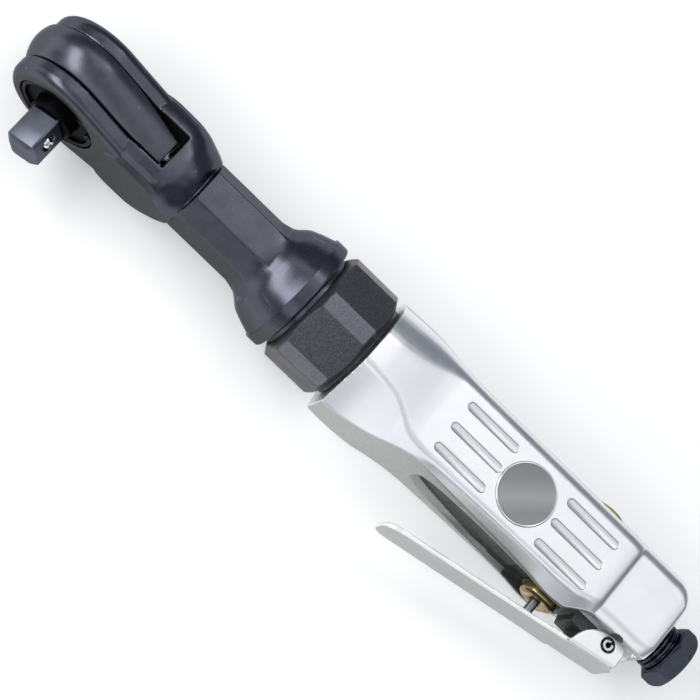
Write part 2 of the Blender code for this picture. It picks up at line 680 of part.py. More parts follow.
def lever_pin(mat):
    """A rolled pin: a split tube with its slit towards the grip."""
    slit, start = math.radians(24), math.radians(60)
    outer = arc(PIN_X, PIN_Y, PIN_R - 0.03, start + slit, start + 2 * math.pi - slit, 21)
    inner = arc(PIN_X, PIN_Y, 0.85, start + 2 * math.pi - slit, start + slit, 21)
    return prism("lever_pin", outer + inner, -8.5, 8.5, mat)


# ---------------------------------------------------------------- throttle valve
def valve_parts(brass, steel):
    centre = (VALVE_X, 0, 0)
    bushing = turned("valve_bushing", [
        (-17.3, 1.75), (-17.3, 4.6), (-16.9, 5.5), (-16.2, 6.0), (-14.4, 6.0), (-14.2, 5.3), (-7.2, 5.3), (-7.2, 1.75),
    ], brass, "Y", centre, 32)
    stem = turned("valve_stem", [
        (-22.5, 0), (-22.5, 0.8), (-22.1, 1.5), (-6.9, 1.5), (-6.9, 4.2), (-5.2, 4.2), (-5.2, 1.5), (-3.6, 1.5), (-3.6, 0),
    ], steel, "Y", centre, 24)
    spring = coil("valve_spring", 3.0, 0.3, -4.9, 6.4, 5.0, steel, "Y", centre)
    plug = turned("valve_plug", [
        (6.8, 0), (6.8, 5.3), (15.4, 5.3), (16.2, 4.6), (16.7, 3.0), (16.8, 0),
    ], brass, "Y", centre, 32)
    return bushing, stem, spring, plug


# ---------------------------------------------------------------- assembly
def main():
    bpy.ops.wm.read_factory_settings(use_empty=True)
    bpy.context.scene.unit_settings.system = "METRIC"
    bpy.context.scene.unit_settings.length_unit = "MILLIMETERS"

    black = material("black_steel", (0.055, 0.055, 0.075), 0.85, 0.36)
    phosphate = material("phosphate", (0.055, 0.053, 0.06), 0.5, 0.6)
    steel = material("bright_steel", (0.62, 0.62, 0.64), 1.0, 0.28)
    alloy = material("polished_alloy", (0.83, 0.84, 0.87), 1.0, 0.22)
    zinc = material("zinc_plate", (0.62, 0.62, 0.61), 0.9, 0.42)
    brass = material("brass", (0.62, 0.45, 0.20), 1.0, 0.3)
    vane_grey = material("vane_composite", (0.25, 0.17, 0.11), 0.0, 0.6)
    face = material("badge_face", (0.36, 0.36, 0.37), 0.6, 0.4)

    ratchet_housing(black)
    yoke(black)
    anvil(black)
    pawl("pawl_front", math.pi, steel)
    pawl("pawl_rear", 0.0, steel)
    for name, side in (("pawl_pin_front", math.pi), ("pawl_pin_rear", 0.0)):
        rod(name, 1.25, -4.5, 4.5, steel, "Y", (9.0 * math.cos(side), 0, 9.0 * math.sin(side)), 16)
    detent(steel, steel)
    tube("thrust_washer", 7.3, 12.8, -10.5, -9.7, steel, "Y")
    retaining_ring(steel)
    reverse_lever(black)

    crankshaft(steel)
    tube("drive_bushing", 2.45, 4.1, 23.0, 30.4, steel, "X", (0, CRANK_OFFSET, 0), 32)
    tube("needle_bearing", 5.12, 7.5, 44.0, 66.0, steel)
    ring_gear(steel)
    for k in range(3):
        planet("planet_%d" % (k + 1), 2 * math.pi * k / 3, steel)
    clamp_nut(phosphate)

    tube("gear_spacer", 11.0, 14.1, 93.9, 98.0, steel)
    plate("front_plate", 98.3, 103.1, steel)
    tube("front_bearing", 3.15, 6.5, 98.5, 101.6, steel)
    cylinder(steel)
    rotor(steel)
    for k in range(4):
        vane(k, vane_grey)
    turned("rear_plate", [
        (143.9, 4.2), (143.9, CYLINDER_R), (149.0, CYLINDER_R), (149.0, 6.7), (145.1, 6.7), (145.1, 4.2),
    ], steel)
    tube("rear_bearing", 3.15, 6.5, 145.4, 148.8, steel)

    motor_housing(alloy)
    badge(face)
    inlet_bushing(black)
    tube("inlet_screen", 1.2, 4.3, 211.3, 211.8, steel, "X", (0, INLET_Y, 0), 24)
    throttle_lever(zinc)
    lever_pin(black)
    valve_parts(brass, steel)

    shift = Matrix.Translation((-CENTRE_X * MM, -CENTRE_Y * MM, REST_Z * MM))
    for obj in bpy.context.scene.objects:
        obj.data.transform(shift)
        for polygon in obj.data.polygons:
            polygon.use_smooth = False


main()
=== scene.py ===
"""Looks of the air ratchet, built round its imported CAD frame.

Pieces are modelled in millimetres in the tool's own frame: the tool axis is X,
the drive turns about the Y axis through the origin, and Z is the side that
carries the badge. settle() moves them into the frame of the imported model.
"""

from math import acos, atan2, ceil, cos, degrees, hypot, pi, radians, sin, tan

import bmesh
import bpy
import numpy as np
from mathutils import Matrix, Vector


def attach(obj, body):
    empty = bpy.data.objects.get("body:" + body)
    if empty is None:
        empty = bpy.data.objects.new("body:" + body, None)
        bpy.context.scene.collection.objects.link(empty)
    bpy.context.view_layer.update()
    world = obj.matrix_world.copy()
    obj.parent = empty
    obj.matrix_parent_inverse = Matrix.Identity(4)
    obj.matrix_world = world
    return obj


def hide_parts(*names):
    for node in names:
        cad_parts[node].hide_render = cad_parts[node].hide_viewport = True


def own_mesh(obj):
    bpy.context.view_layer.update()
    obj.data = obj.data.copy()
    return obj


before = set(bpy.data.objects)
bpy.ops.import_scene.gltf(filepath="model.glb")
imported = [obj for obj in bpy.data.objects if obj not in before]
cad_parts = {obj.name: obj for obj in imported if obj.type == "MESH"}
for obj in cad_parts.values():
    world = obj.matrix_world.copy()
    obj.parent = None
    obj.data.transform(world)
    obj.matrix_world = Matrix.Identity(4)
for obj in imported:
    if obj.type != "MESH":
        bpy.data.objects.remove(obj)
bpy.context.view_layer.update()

MM = 0.001
CENTRE_X, CENTRE_Y, REST_Z = 110.4, -7.2715, 19.3513
TO_FRAME = Matrix.Translation((-CENTRE_X * MM, -CENTRE_Y * MM, REST_Z * MM)) @ Matrix.Scale(MM, 4)

# sizes in millimetres, most of them shared with the CAD part
HEAD_R, HEAD_HALF_H, BODY_HALF_H = 17.3, 12.1, 15.3
SLOT_HALF_H, SLOT_END_X = 6.1, 31.2
NECK_X0, NECK_X1 = 43.7, 67.0
NECK_FLAT_Z, NECK_FLAT_HALF, NECK_FLAT_Y, NECK_SLANT_Z = 13.05, 5.05, 10.12, 6.04
SIDE_FLAT_Y = 12.75
COLLAR_R, COLLAR_X0, COLLAR_X1 = 18.8, 82.0, 86.3
SPIGOT_R, HEAD_SPIGOT_X = 15.6, 95.0
SQUARE, SQUARE_TURN, SQUARE_TIP_Y, SQUARE_CORNER = 9.525, radians(28.9), -26.8, 0.8
BALL_R, BALL_REACH, BALL_Y = 2.05, 3.45, -20.0
DRIVE_SHOULDER_Y = -14.65
ANVIL_R, RECESS_R = 11.2, 13.1
NUT_X0, NUT_X1, NUT_APOTHEM, NUT_CORNER_R = 88.0, 107.3, 17.85, 19.3
NUT_TURN, NUT_FLAT_HALF = radians(33.9), 6.9
NUT_FACET_X, NUT_FACET_HALF_X = 97.6, 9.5
MOTOR_BORE_R = 11.9
GRIP_Z, GROOVE_PITCH, GROOVE_MID_Y, GROOVE_HALF, GROOVE_DEPTH = 15.3, 7.8, -1.1, 1.35, 0.5
GROOVES = ((140.0, 159.5), (180.0, 200.0))
CHANNEL_X0, CHANNEL_FLOOR_Y, CHANNEL_RIM_Y = 143.0, -13.2, -15.7
BADGE_X, BADGE_Y, BADGE_R = 169.4, -0.9, 9.4
VALVE_X, VALVE_BORE_R, VALVE_TRAVEL = 195.0, 5.6, 4.5
INLET_Y, THREAD_PITCH, HEX_CORNER_R = -1.0, 1.41, 9.9
PIN_X, PIN_Y, PIN_R = 217.8, -14.1, 1.7
LEVER_OPEN, LEVER_LENGTH, LEVER_REAR = radians(10.5), 74.3, 5.4
LEVER_INNER, LEVER_SHEET, LEVER_HALF_TIP, LEVER_HALF_REAR = 4.3, 1.5, 7.0, 8.4
# the drive's own frame: its ball looks along +X, at the height BALL_Y
TO_DRIVE = Matrix.Translation((0, BALL_Y, 0)) @ Matrix.Rotation(-SQUARE_TURN, 4, "Y")
# how large the cells are that round the edges of the cast and forged pieces
HEAD_CELL, YOKE_CELL, GRIP_CELL, LEVER_CELL, RING_CELL = 0.29, 0.26, 0.36, 0.2, 0.12


def tool_point(centre):
    """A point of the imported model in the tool's own frame, in millimetres."""
    return centre.x / MM + CENTRE_X, centre.y / MM + CENTRE_Y, centre.z / MM - REST_Z


def both_sides(near, far):
    """The span from near to far, and its mirror image."""
    return (near, far), (-far, -near)


# -------- curves
def angles(count, first=0.0, last=pi / 2):
    return np.linspace(first, last, count)


def arc(cx, cy, r, a0, a1, count):
    return [(cx + r * cos(a0 + (a1 - a0) * k / (count - 1)),
             cy + r * sin(a0 + (a1 - a0) * k / (count - 1))) for k in range(count)]


def capsule(x0, x1, y, half, count=25):
    return (arc(x0 + half, y, half, pi / 2, 1.5 * pi, count)
            + arc(x1 - half, y, half, -pi / 2, pi / 2, count))


def plan_outline(radius, end_x, end_half, count=97):
    """The head seen along the drive: a round nose and two straight tangents."""
    reach = hypot(end_x, end_half)
    tangent = atan2(end_half, end_x) + acos(radius / reach)
    nose = arc(0, 0, radius, tangent, 2 * pi - tangent, count)
    (nose_x, nose_half), spans = nose[0], 12
    upper = [(end_x + (nose_x - end_x) * k / spans, end_half + (nose_half - end_half) * k / spans)
             for k in range(spans)]
    return upper + nose + [(x, -y) for x, y in reversed(upper)]


def slopes(xs, ys):
    """Monotone slopes, so that a curve through measured sections doesn't overshoot."""
    h, rise = np.diff(xs), np.diff(ys, axis=0)
    d = rise / h[:, None]
    m = np.zeros_like(ys)
    m[0], m[-1] = d[0], d[-1]
    for i in range(1, len(xs) - 1):
        w1, w2 = 2 * h[i] + h[i - 1], h[i] + 2 * h[i - 1]
        same = d[i - 1] * d[i] > 0
        safe = np.where(same, d[i - 1] * d[i], 1.0)
        m[i] = np.where(same, (w1 + w2) * safe / (w1 * d[i] + w2 * d[i - 1] + 1e-12 * ~same), 0.0)
    return m


def through(xs, ys, at):
    """Smooth values at each station, of rows of numbers given at the stations xs."""
    xs, ys = np.asarray(xs, float), np.asarray(ys, float)
    m, out = slopes(xs, ys), []
    for x in at:
        i = int(np.clip(np.searchsorted(xs, x) - 1, 0, len(xs) - 2))
        h = xs[i + 1] - xs[i]
        t = (x - xs[i]) / h
        out.append((2 * t**3 - 3 * t**2 + 1) * ys[i] + (t**3 - 2 * t**2 + t) * h * m[i]
                   + (3 * t**2 - 2 * t**3) * ys[i + 1] + (t**3 - t**2) * h * m[i + 1])
    return np.array(out)


def dense(points, corners, steps=8):
    """A smooth line through points that keeps its corners and has steps spans between two points."""
    p, out = np.array(points, float), []
    cuts = [0] + list(corners) + [len(p) - 1]
    for a, b in zip(cuts[:-1], cuts[1:]):
        along = np.arange(a, b + 1, dtype=float)
        stations = [a + (b - a) * k / ((b - a) * steps) for k in range((b - a) * steps)]
        out += list(through(along, p[a:b + 1], stations))
    return np.array(out + [p[-1]])


def half_plan(points, count=43):
    """A smooth half outline through a few of its points."""
    last = len(points) - 1
    return through(range(last + 1), points, np.linspace(0, last, count))


def steps_between(a, b, pitch):
    count = max(2, int(ceil((b - a) / pitch)) + 1)
    return list(np.linspace(a, b, count))


# -------- meshes
def make(name, points, faces):
    mesh = bpy.data.meshes.new(name)
    mesh.from_pydata([tuple(map(float, p)) for p in points], [], faces)
    work = bmesh.new()
    work.from_mesh(mesh)
    bmesh.ops.recalc_face_normals(work, faces=work.faces)
    if work.calc_volume(signed=True) < 0:
        bmesh.ops.reverse_faces(work, faces=work.faces)
    work.to_mesh(mesh)
    work.free()
    obj = bpy.data.objects.new(name, mesh)
    bpy.context.scene.collection.objects.link(obj)
    return obj


def loft(name, rings):
    """Rings of equal length joined by quads, each end closed by a fan."""
    count = len(rings[0])
    points = [tuple(p) for ring in rings for p in ring]
    faces = []
    for i in range(len(rings) - 1):
        a, b = i * count, (i + 1) * count
        faces += [(a + k, a + (k + 1) % count, b + (k + 1) % count, b + k) for k in range(count)]
    faces += [tuple(range(count)), tuple(range((len(rings) - 1) * count, len(rings) * count))]
    return make(name, points, faces)


def place(axis, along, u, v):
    return {"X": (along, u, v), "Y": (v, along, u), "Z": (u, v, along)}[axis]


def turned(name, profile, axis="X", centre=(0.0, 0.0, 0.0), sides=96):
    """A closed profile of (along, radius) turned about an axis."""
    rings, points, faces = [], [], []
    for along, radius in profile:
        if radius < 1e-6:
            rings.append([len(points)] * sides)
            points.append(place(axis, along, 0.0, 0.0))
            continue
        rings.append(list(range(len(points), len(points) + sides)))
        for k in range(sides):
            a = 2 * pi * k / sides
            points.append(place(axis, along, radius * cos(a), radius * sin(a)))
    for i in range(len(rings)):
        one, two = rings[i], rings[(i + 1) % len(rings)]
        for k in range(sides):
            face = list(dict.fromkeys((one[k], one[(k + 1) % sides], two[(k + 1) % sides], two[k])))
            if len(face) > 2:
                faces.append(tuple(face))
    return make(name, [tuple(p[i] + centre[i] for i in range(3)) for p in points], faces)


def rod(name, r, a0, a1, axis="X", centre=(0.0, 0.0, 0.0), sides=96, edge=0.0):
    """A round bar; edge breaks its two rims."""
    if not edge:
        return turned(name, [(a0, 0), (a0, r), (a1, r), (a1, 0)], axis, centre, sides)
    rim = [(a0 + edge * (1 - sin(a)), r - edge * (1 - cos(a))) for a in angles(6, pi / 2, 0)]
    mirrored = [(a0 + a1 - x, q) for x, q in reversed(rim)]
    return turned(name, [(a0, 0)] + rim + mirrored + [(a1, 0)], axis, centre, sides)


def prism(name, outline, low, high, axis="Z"):
    if axis == "Y":
        return loft(name, [[(u, a, v) for u, v in outline] for a in (low, high)])
    return loft(name, [[place(axis, a, u, v) for u, v in outline] for a in (low, high)])


def block(name, low, high):
    (x0, y0, z0), (x1, y1, z1) = low, high
    return prism(name, [(x0, y0), (x1, y0), (x1, y1), (x0, y1)], z0, z1)


def apply_modifiers(obj):
    bpy.context.view_layer.update()
    mesh = bpy.data.meshes.new_from_object(obj.evaluated_get(bpy.context.evaluated_depsgraph_get()))
    obj.modifiers.clear()
    obj.data = mesh
    return obj


def combine(obj, others, operation):
    for other in others:
        modifier = obj.modifiers.new("combine", "BOOLEAN")
        modifier.operation, modifier.solver, modifier.object = operation, "MANIFOLD", other
        apply_modifiers(obj)
        bpy.data.objects.remove(other)
    return obj


def cut(obj, *others):
    return combine(obj, others, "DIFFERENCE")


def join(obj, *others):
    return combine(obj, others, "UNION")


def soften(obj, voxel, passes):
    """Turns a sharp solid into an even mesh with small rounded edges."""
    remesh = obj.modifiers.new("remesh", "REMESH")
    remesh.mode, remesh.voxel_size = "VOXEL", voxel
    smooth = obj.modifiers.new("smooth", "SMOOTH")
    smooth.factor, smooth.iterations = 0.5, passes
    return apply_modifiers(obj)


def bevel(obj, width, segments=3, angle=32):
    modifier = obj.modifiers.new("bevel", "BEVEL")
    modifier.width, modifier.segments = width, segments
    modifier.limit_method, modifier.angle_limit = "ANGLE", radians(angle)
    return apply_modifiers(obj)


def settle(obj, body, finish, slot, *nodes, angle=34.0, more=(), flat_over=0.0):
    """Moves a finished piece into the model's frame and gives it its body, finishes and CAD nodes.
    Faces with more than four corners and an area above flat_over (mm2) are shaded flat."""
    obj.data.transform(TO_FRAME)
    obj.data.materials.clear()
    for each in (finish, *more):
        obj.data.materials.append(each)
    obj.data.shade_smooth()
    obj.data.set_sharp_from_angle(angle=radians(angle))
    for polygon in obj.data.polygons if flat_over else ():
        if polygon.loop_total > 4 and polygon.area > flat_over * MM * MM:
            polygon.use_smooth = False
    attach(obj, body)
    if nodes:
        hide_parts(*nodes)
    return obj


def paint(obj, index, wanted):
    """Gives the faces that wanted(centre, normal) picks the obj's finish number index."""
    for polygon in obj.data.polygons:
        if wanted(polygon.center, polygon.normal):
            polygon.material_index = index


# -------- ratchet head
def quarter_ring(quarter, x):
    top = [tuple(p) for p in quarter]
    ring = top + [(y, -z) for y, z in reversed(top[:-1])]
    ring += [(-y, -z) for y, z in top[1:]] + [(-y, z) for y, z in reversed(top[1:-1])]
    return [(x, y, z) for y, z in ring]


def round_quarter(r):
    angles = np.radians([0, 12, 22, 38, 55, 66, 78, 90])
    angles = np.interp(np.linspace(0, 7, 57), range(8), angles)
    return np.stack([r * np.sin(angles), r * np.cos(angles)], 1)


def neck_quarter():
    return dense([
        (0, NECK_FLAT_Z), (2.6, NECK_FLAT_Z), (NECK_FLAT_HALF, NECK_FLAT_Z), (7.6, 9.53),
        (NECK_FLAT_Y, NECK_SLANT_Z), (NECK_FLAT_Y, 4.0), (NECK_FLAT_Y, 2.0), (NECK_FLAT_Y, 0),
    ], (2, 4))


def body_quarter(side, high, crease=0.0):
    return dense([
        (0, side), (3.4, side), (6.6, side - 0.25), (9.2, side - 0.8),
        (11.3 - crease, side - 2.0), (high - 1.1, side * 0.58), (high - 0.3, side * 0.3), (high, 0),
    ], (4,))


def egg(side, high):
    """A plain elliptic section, with as many points as the others."""
    return np.array([(high * sin(a), side * cos(a)) for a in angles(len(neck_quarter()))])


def head_forging():
    rim = [(-HEAD_HALF_H + 3.2 * (1 - sin(a)), 3.4 * (1 - cos(a))) for a in angles(14, pi / 2, 0)]
    rim += [(-y, inset) for y, inset in reversed(rim)]
    head = loft("head_forging", [
        [(x, y, z) for x, z in plan_outline(HEAD_R - inset, 27.0, 11.2 - inset)] for y, inset in rim])

    neck = neck_quarter()
    sections = [
        (12.0, body_quarter(8.5, 11.0)), (16.0, body_quarter(11.3, 13.2)), (20.0, body_quarter(13.7, 14.8)),
        (24.0, body_quarter(14.2, BODY_HALF_H)), (30.5, body_quarter(14.2, 15.1, 0.1)),
        (34.5, (body_quarter(14.2, 14.9, 0.3) + egg(14.2, 14.9)) / 2),
        (38.5, egg(13.2, 13.9)), (41.5, egg(11.7, 12.8)), (43.3, egg(10.4, 12.0)),
    ]
    flare = [(NECK_X1, neck), (70.5, neck * 0.5 + round_quarter(13.8) * 0.5), (74.5, round_quarter(15.5)),
             (78.4, round_quarter(17.3)), (COLLAR_X0, round_quarter(COLLAR_R))]
    rings = []
    for group in (sections, [(NECK_X0, neck), (NECK_X1 - 0.6, neck)], flare):
        xs = [x for x, _ in group]
        at = steps_between(xs[0], xs[-1], 0.6)
        for x, q in zip(at, through(xs, np.array([s.ravel() for _, s in group]), at)):
            rings.append(quarter_ring(q.reshape(-1, 2), x))
    rim_x = COLLAR_X1 - 0.8
    rings += [quarter_ring(round_quarter(COLLAR_R - 0.9 * (1 - cos(a))), rim_x + 0.8 * sin(a))
              for a in angles(6)]
    rings += [quarter_ring(round_quarter(SPIGOT_R), x) for x in (COLLAR_X1 + 0.02, HEAD_SPIGOT_X)]
    join(head, loft("body", rings))
    spot = [(-22, 0), (-22, 20.2), (-15.6, 19.8)]
    spot += [(-HEAD_HALF_H - 3.0 * (1 - sin(a)), 16.8 + 2.9 * cos(a)) for a in angles(12, 0.1)]
    cut(head, turned("spot", spot + [(-HEAD_HALF_H, 0)], "Y", sides=144))
    cut(head, block("slot", (-30, -SLOT_HALF_H, -30), (SLOT_END_X, SLOT_HALF_H, 30)))
    soften(head, HEAD_CELL, 2)
    # the flat sides and the step before the collar keep crisp edges, so they come after the rounding
    for low, high in both_sides(SIDE_FLAT_Y, 20):
        cut(head, block("side_flat", (12.0, low, -30), (43.4, high, 30)))
    cut(head, turned("collar_step", [
        (70.0, 15.0), (74.0, 15.4), (78.4, 17.15), (81.8, 18.25), (82.0, 18.35), (82.1, 25), (70.0, 25),
    ], sides=144))
    lip = 0.35
    cut(head, turned("anvil_bore", [
        (-16, 0), (-16, RECESS_R + lip), (-HEAD_HALF_H, RECESS_R + lip), (-HEAD_HALF_H + 0.15, RECESS_R + 0.1),
        (-HEAD_HALF_H + lip, RECESS_R), (-9.5, RECESS_R), (-9.5, 11.6), (0, 11.6),
        (0, 10.7), (16, 10.7), (16, 0),
    ], "Y", sides=128))
    cut(head, turned("crank_bore", [
        (20, 0), (20, 6.1), (43, 6.1), (43, 7.7), (74, 7.7), (74, 12.9), (79.3, 12.9),
        (79.3, 14.3), (100, 14.3), (100, 0),
    ]))
    return head


def yoke_barrel():
    rings = []
    for y in np.linspace(-5.8, 5.8, 27):
        bow = ((y - 1.5) / 7.3) ** 2 * 1.15
        ease = 0.5 * max(0.0, (abs(y) - 5.3) / 0.5) ** 2
        outline = plan_outline(19.2 - 2.3 * bow - ease, 29.8, 11.8 - 1.4 * bow - ease)
        rings.append([(x, y, z) for x, z in outline])
    body = loft("yoke_barrel", rings)
    for sign in (1, -1):
        tail = 3.35 if sign > 0 else 4.7
        wedge = [(9.0, 5.85), (31.0, tail), (31.0, 12.0), (9.0, 12.0)]
        cut(body, prism("wedge", [(x, sign * y) for x, y in wedge], -30, 30))
    count, tip, root, teeth = 36, 11.7, 12.7, []
    step = 2 * pi / count
    for k in range(count):
        teeth += [(tip * cos(k * step), tip * sin(k * step)),
                  (root * cos((k + 0.5) * step), root * sin((k + 0.5) * step))]
    cut(body, prism("teeth", teeth, -8, 8, "Y"))
    cut(body, prism("fork", [(17.5, -7.3), (32, -7.3), (32, 7.3), (17.5, 7.3)], -8, 8, "Y"))
    return soften(body, YOKE_CELL, 2)


def square_ring(half, corner, y, count=7):
    """The drive's square with round corners, at its resting angle."""
    points = []
    for k in range(4):
        for u, v in arc(half - corner, half - corner, corner, 0, pi / 2, count):
            a = k * pi / 2 + SQUARE_TURN
            points.append((u * cos(a) - v * sin(a), y, u * sin(a) + v * cos(a)))
    return points


def drive_anvil():
    body = turned("drive_anvil", [
        (-14.6, 0), (-14.6, 5.9), (-14.45, 6.4), (-13.9, 6.95), (-13.4, 7.0), (-9.3, 7.0), (-9.3, 11.1),
        (-9.1, 11.3), (-6.2, 11.3), (-6.1, ANVIL_R), (5.8, ANVIL_R), (5.9, 10.4), (9.4, 10.4), (9.4, 0),
    ], "Y", sides=96)
    half, rings = SQUARE / 2, []
    for y in (-13.0, -15.0, -20.0, SQUARE_TIP_Y + 1.5):
        rings.append(square_ring(half, SQUARE_CORNER, y))
    for inset, back in ((0.0, 1.5), (0.05, 1.3), (0.15, 1.12), (0.95, 0.16), (1.1, 0.04), (1.3, 0.0)):
        rings.append(square_ring(half - inset, SQUARE_CORNER + 0.5 * inset, SQUARE_TIP_Y + back))
    join(body, loft("square", rings))
    hole = turned("ball_hole", [
        (-2.6, 0), (-2.6, 2.25), (4.2, 2.25), (4.45, 2.35), (4.9, 2.75), (8.0, 2.75), (8.0, 0)], sides=48)
    hole.data.transform(TO_DRIVE)
    cut(body, hole)
    for side in (0.0, pi):
        pocket = arc(0, 0, 6.9, side - 0.70, side + 0.70, 9) + arc(0, 0, 14.0, side + 0.70, side - 0.70, 9)
        cut(body, prism("pocket", pocket, -4.6, 4.6, "Y"))
    return cut(body, rod("stem_bore", 3.3, 2.0, 12.0, "Y", sides=48))


def in_recess(centre, normal):
    """True for the round boss of the drive, which sits in the shade of the recess."""
    return tool_point(centre)[1] > DRIVE_SHOULDER_Y


def detent_ball():
    """The ball, with the small flat and dimple that the plunger's face shows."""
    r, dimple_r, dimple_depth = BALL_R, 0.85, 0.32
    profile = [(-r * cos(a), r * sin(a)) for a in angles(41, 0, pi)]
    profile = [(max(-r, x), max(0.0, q)) for x, q in profile]
    dimple = [(r - 0.02 - dimple_depth * cos(q / dimple_r * pi / 2) ** 2, q)
              for q in np.linspace(dimple_r, 0, 8)]
    profile = [(x, q) for x, q in profile if x < r - 0.2] + dimple
    profile[0], profile[-1] = (-r, 0.0), (dimple[-1][0], 0.0)
    ball = turned("detent_ball_polished", profile, "X", (BALL_REACH, 0, 0), 48)
    ball.data.transform(TO_DRIVE)
    return ball


def snap_ring():
    gap, start = radians(16), radians(35)
    outer = arc(0, 0, 12.7, start + gap, start + 2 * pi - gap, 121)
    inner = arc(0, 0, 11.5, start + 2 * pi - gap, start + gap, 121)
    body = prism("snap_ring", outer + inner, -11.6, -10.7, "Y")
    for sign in (1, -1):
        a = start + sign * (gap + 0.07)
        join(body, rod("ear", 1.35, -11.6, -10.7, "Y", (11.3 * cos(a), 0, 11.3 * sin(a)), 40))
        cut(body, rod("eye", 0.55, -13, -9, "Y", (11.2 * cos(a), 0, 11.2 * sin(a)), 24))
    return soften(body, RING_CELL, 2)


def reverse_knob():
    """The turning disc on the far face: a knurled rim and a raised finger bar."""
    disc = turned("reverse_knob", [
        (3.0, 0), (3.0, 3.0), (9.8, 3.0), (9.8, 9.2), (10.0, 9.6), (11.5, 9.6), (11.85, 9.5), (12.1, 9.2),
        (12.2, 8.8), (12.2, 0),
    ], "Y", sides=128)
    layers = [(11.5, 0.0), (13.6, 0.1), (14.1, 0.3), (14.35, 0.7), (14.4, 1.1)]
    bar = loft("bar", [[(u, y, v) for u, v in capsule(-7.5 + d, 7.5 - d, 0.0, 2.2 - d, 17)] for y, d in layers])
    join(disc, bar)
    notches, count, ring = [], 40, 9.68
    for k in range(count):
        a = 2 * pi * k / count
        notches.append(rod("notch", 0.26, 9.6, 12.6, "Y", (ring * cos(a), 0, ring * sin(a)), 12))
    return cut(disc, *notches)


# -------- clamp nut
def clamp_nut():
    corner = []
    for k in range(6):
        middle = NUT_TURN + k * pi / 3
        for side in (-NUT_FLAT_HALF, NUT_FLAT_HALF):
            corner.append((NUT_APOTHEM * cos(middle) - side * sin(middle),
                           NUT_APOTHEM * sin(middle) + side * cos(middle)))
    body = prism("clamp_nut_hex", [(-v, u) for u, v in corner], NUT_X0, NUT_X1, "X")
    trim = turned("trim", [
        (NUT_X0 - 1, 0), (NUT_X0 - 1, 16.4), (NUT_X0, 16.6), (NUT_X0 + 2.0, NUT_CORNER_R + 0.2),
        (NUT_X1 - 2.0, NUT_CORNER_R + 0.2), (NUT_X1, 16.6), (NUT_X1 + 1, 16.4), (NUT_X1 + 1, 0),
    ], sides=180)
    combine(body, [trim], "INTERSECT")
    bevel(body, 0.22, 3, 14)
    return cut(body, turned("thread", [
        (80, 0), (80, SPIGOT_R + 0.65), (NUT_X0, SPIGOT_R + 0.65), (NUT_X0 + 0.5, SPIGOT_R + 0.25),
        (NUT_X1 - 0.5, SPIGOT_R + 0.25), (NUT_X1, SPIGOT_R + 0.65), (120, SPIGOT_R + 0.65), (120, 0),
    ], sides=128))


def in_narrow_facet(centre, normal):
    """True for the six narrow ground facets of the nut."""
    turn = degrees(atan2(-normal.y, normal.z) - NUT_TURN) % 60.0
    along = abs(tool_point(centre)[0] - NUT_FACET_X)
    return abs(normal.x) < 0.05 and abs(turn - 30.0) < 4.0 and along < NUT_FACET_HALF_X


# -------- grip
# half sections: x, top y, top z, shoulder y, side z, crease y, bottom y, bottom z
HANDLE = [
    (108.6, 18.6, 2.0, 2.0, 18.6, -6.3, -20.5, 6.5),
    (113.0, 18.7, 2.5, 2.5, 18.5, -6.3, -20.6, 6.8),
    (118.0, 18.5, 4.0, 3.5, 17.9, -6.4, -20.1, 8.2),
    (122.5, 18.1, 5.5, 5.0, 17.1, -6.8, -19.4, 9.4),
    (126.5, 17.4, 6.8, 6.8, 16.3, -8.2, -18.6, 10.6),
    (130.5, 16.5, 8.0, 8.6, 15.6, -10.8, -17.4, 11.8),
    (134.5, 15.8, 8.8, 9.8, GRIP_Z, -12.2, -16.4, 12.7),
    (139.0, 15.3, 9.2, 10.3, GRIP_Z, -12.8, -15.6, 13.2),
    (145.0, 15.2, 9.2, 10.3, GRIP_Z, -12.9, -15.3, 12.6),
    (165.0, 15.2, 9.2, 10.3, GRIP_Z, -12.7, -15.3, 10.8),
    (184.0, 15.2, 9.2, 10.3, GRIP_Z, -12.3, -15.6, 9.8),
    (193.0, 15.2, 9.2, 10.3, GRIP_Z, -11.9, -16.3, 9.8),
    (199.0, 15.2, 9.2, 10.3, GRIP_Z, -11.0, -16.0, 10.4),
    (203.0, 15.2, 9.2, 10.3, GRIP_Z, -9.9, -13.8, 11.6),
    (205.2, 15.17, 9.2, 10.3, 15.1, -9.4, -12.6, 12.4),
    (206.6, 15.15, 9.4, 10.5, 14.65, -9.2, -12.1, 12.6),
    (207.3, 15.1, 9.6, 10.6, 14.15, -8.9, -11.8, 12.4),
    (207.8, 15.1, 9.6, 10.6, 14.12, -8.9, -11.8, 12.4),
    (215.0, 15.1, 9.6, 10.6, 14.1, -8.7, -11.5, 12.4),
    (222.0, 15.1, 9.6, 10.6, 14.0, -8.6, -11.5, 12.3),
    (224.4, 14.6, 9.6, 10.2, 14.0, -8.5, -11.4, 12.2),
    (226.4, 13.3, 9.4, 9.2, 13.8, -8.4, -11.2, 11.9),
    (227.7, 11.4, 9.0, 7.8, 13.4, -8.0, -10.8, 11.3),
    (228.3, 9.4, 8.4, 6.4, 12.6, -7.4, -10.0, 10.4),
]


def eased(a, corner, b, reach, count=7):
    """A curve that rounds the corner between two straight runs."""
    a, corner, b = (np.array(p, float) for p in (a, corner, b))
    p = corner + (a - corner) * min(0.45, reach / (np.linalg.norm(a - corner) + 1e-9))
    q = corner + (b - corner) * min(0.45, reach / (np.linalg.norm(b - corner) + 1e-9))
    return [tuple((1 - t) ** 2 * p + 2 * t * (1 - t) * corner + t * t * q) for t in np.linspace(0, 1, count)]


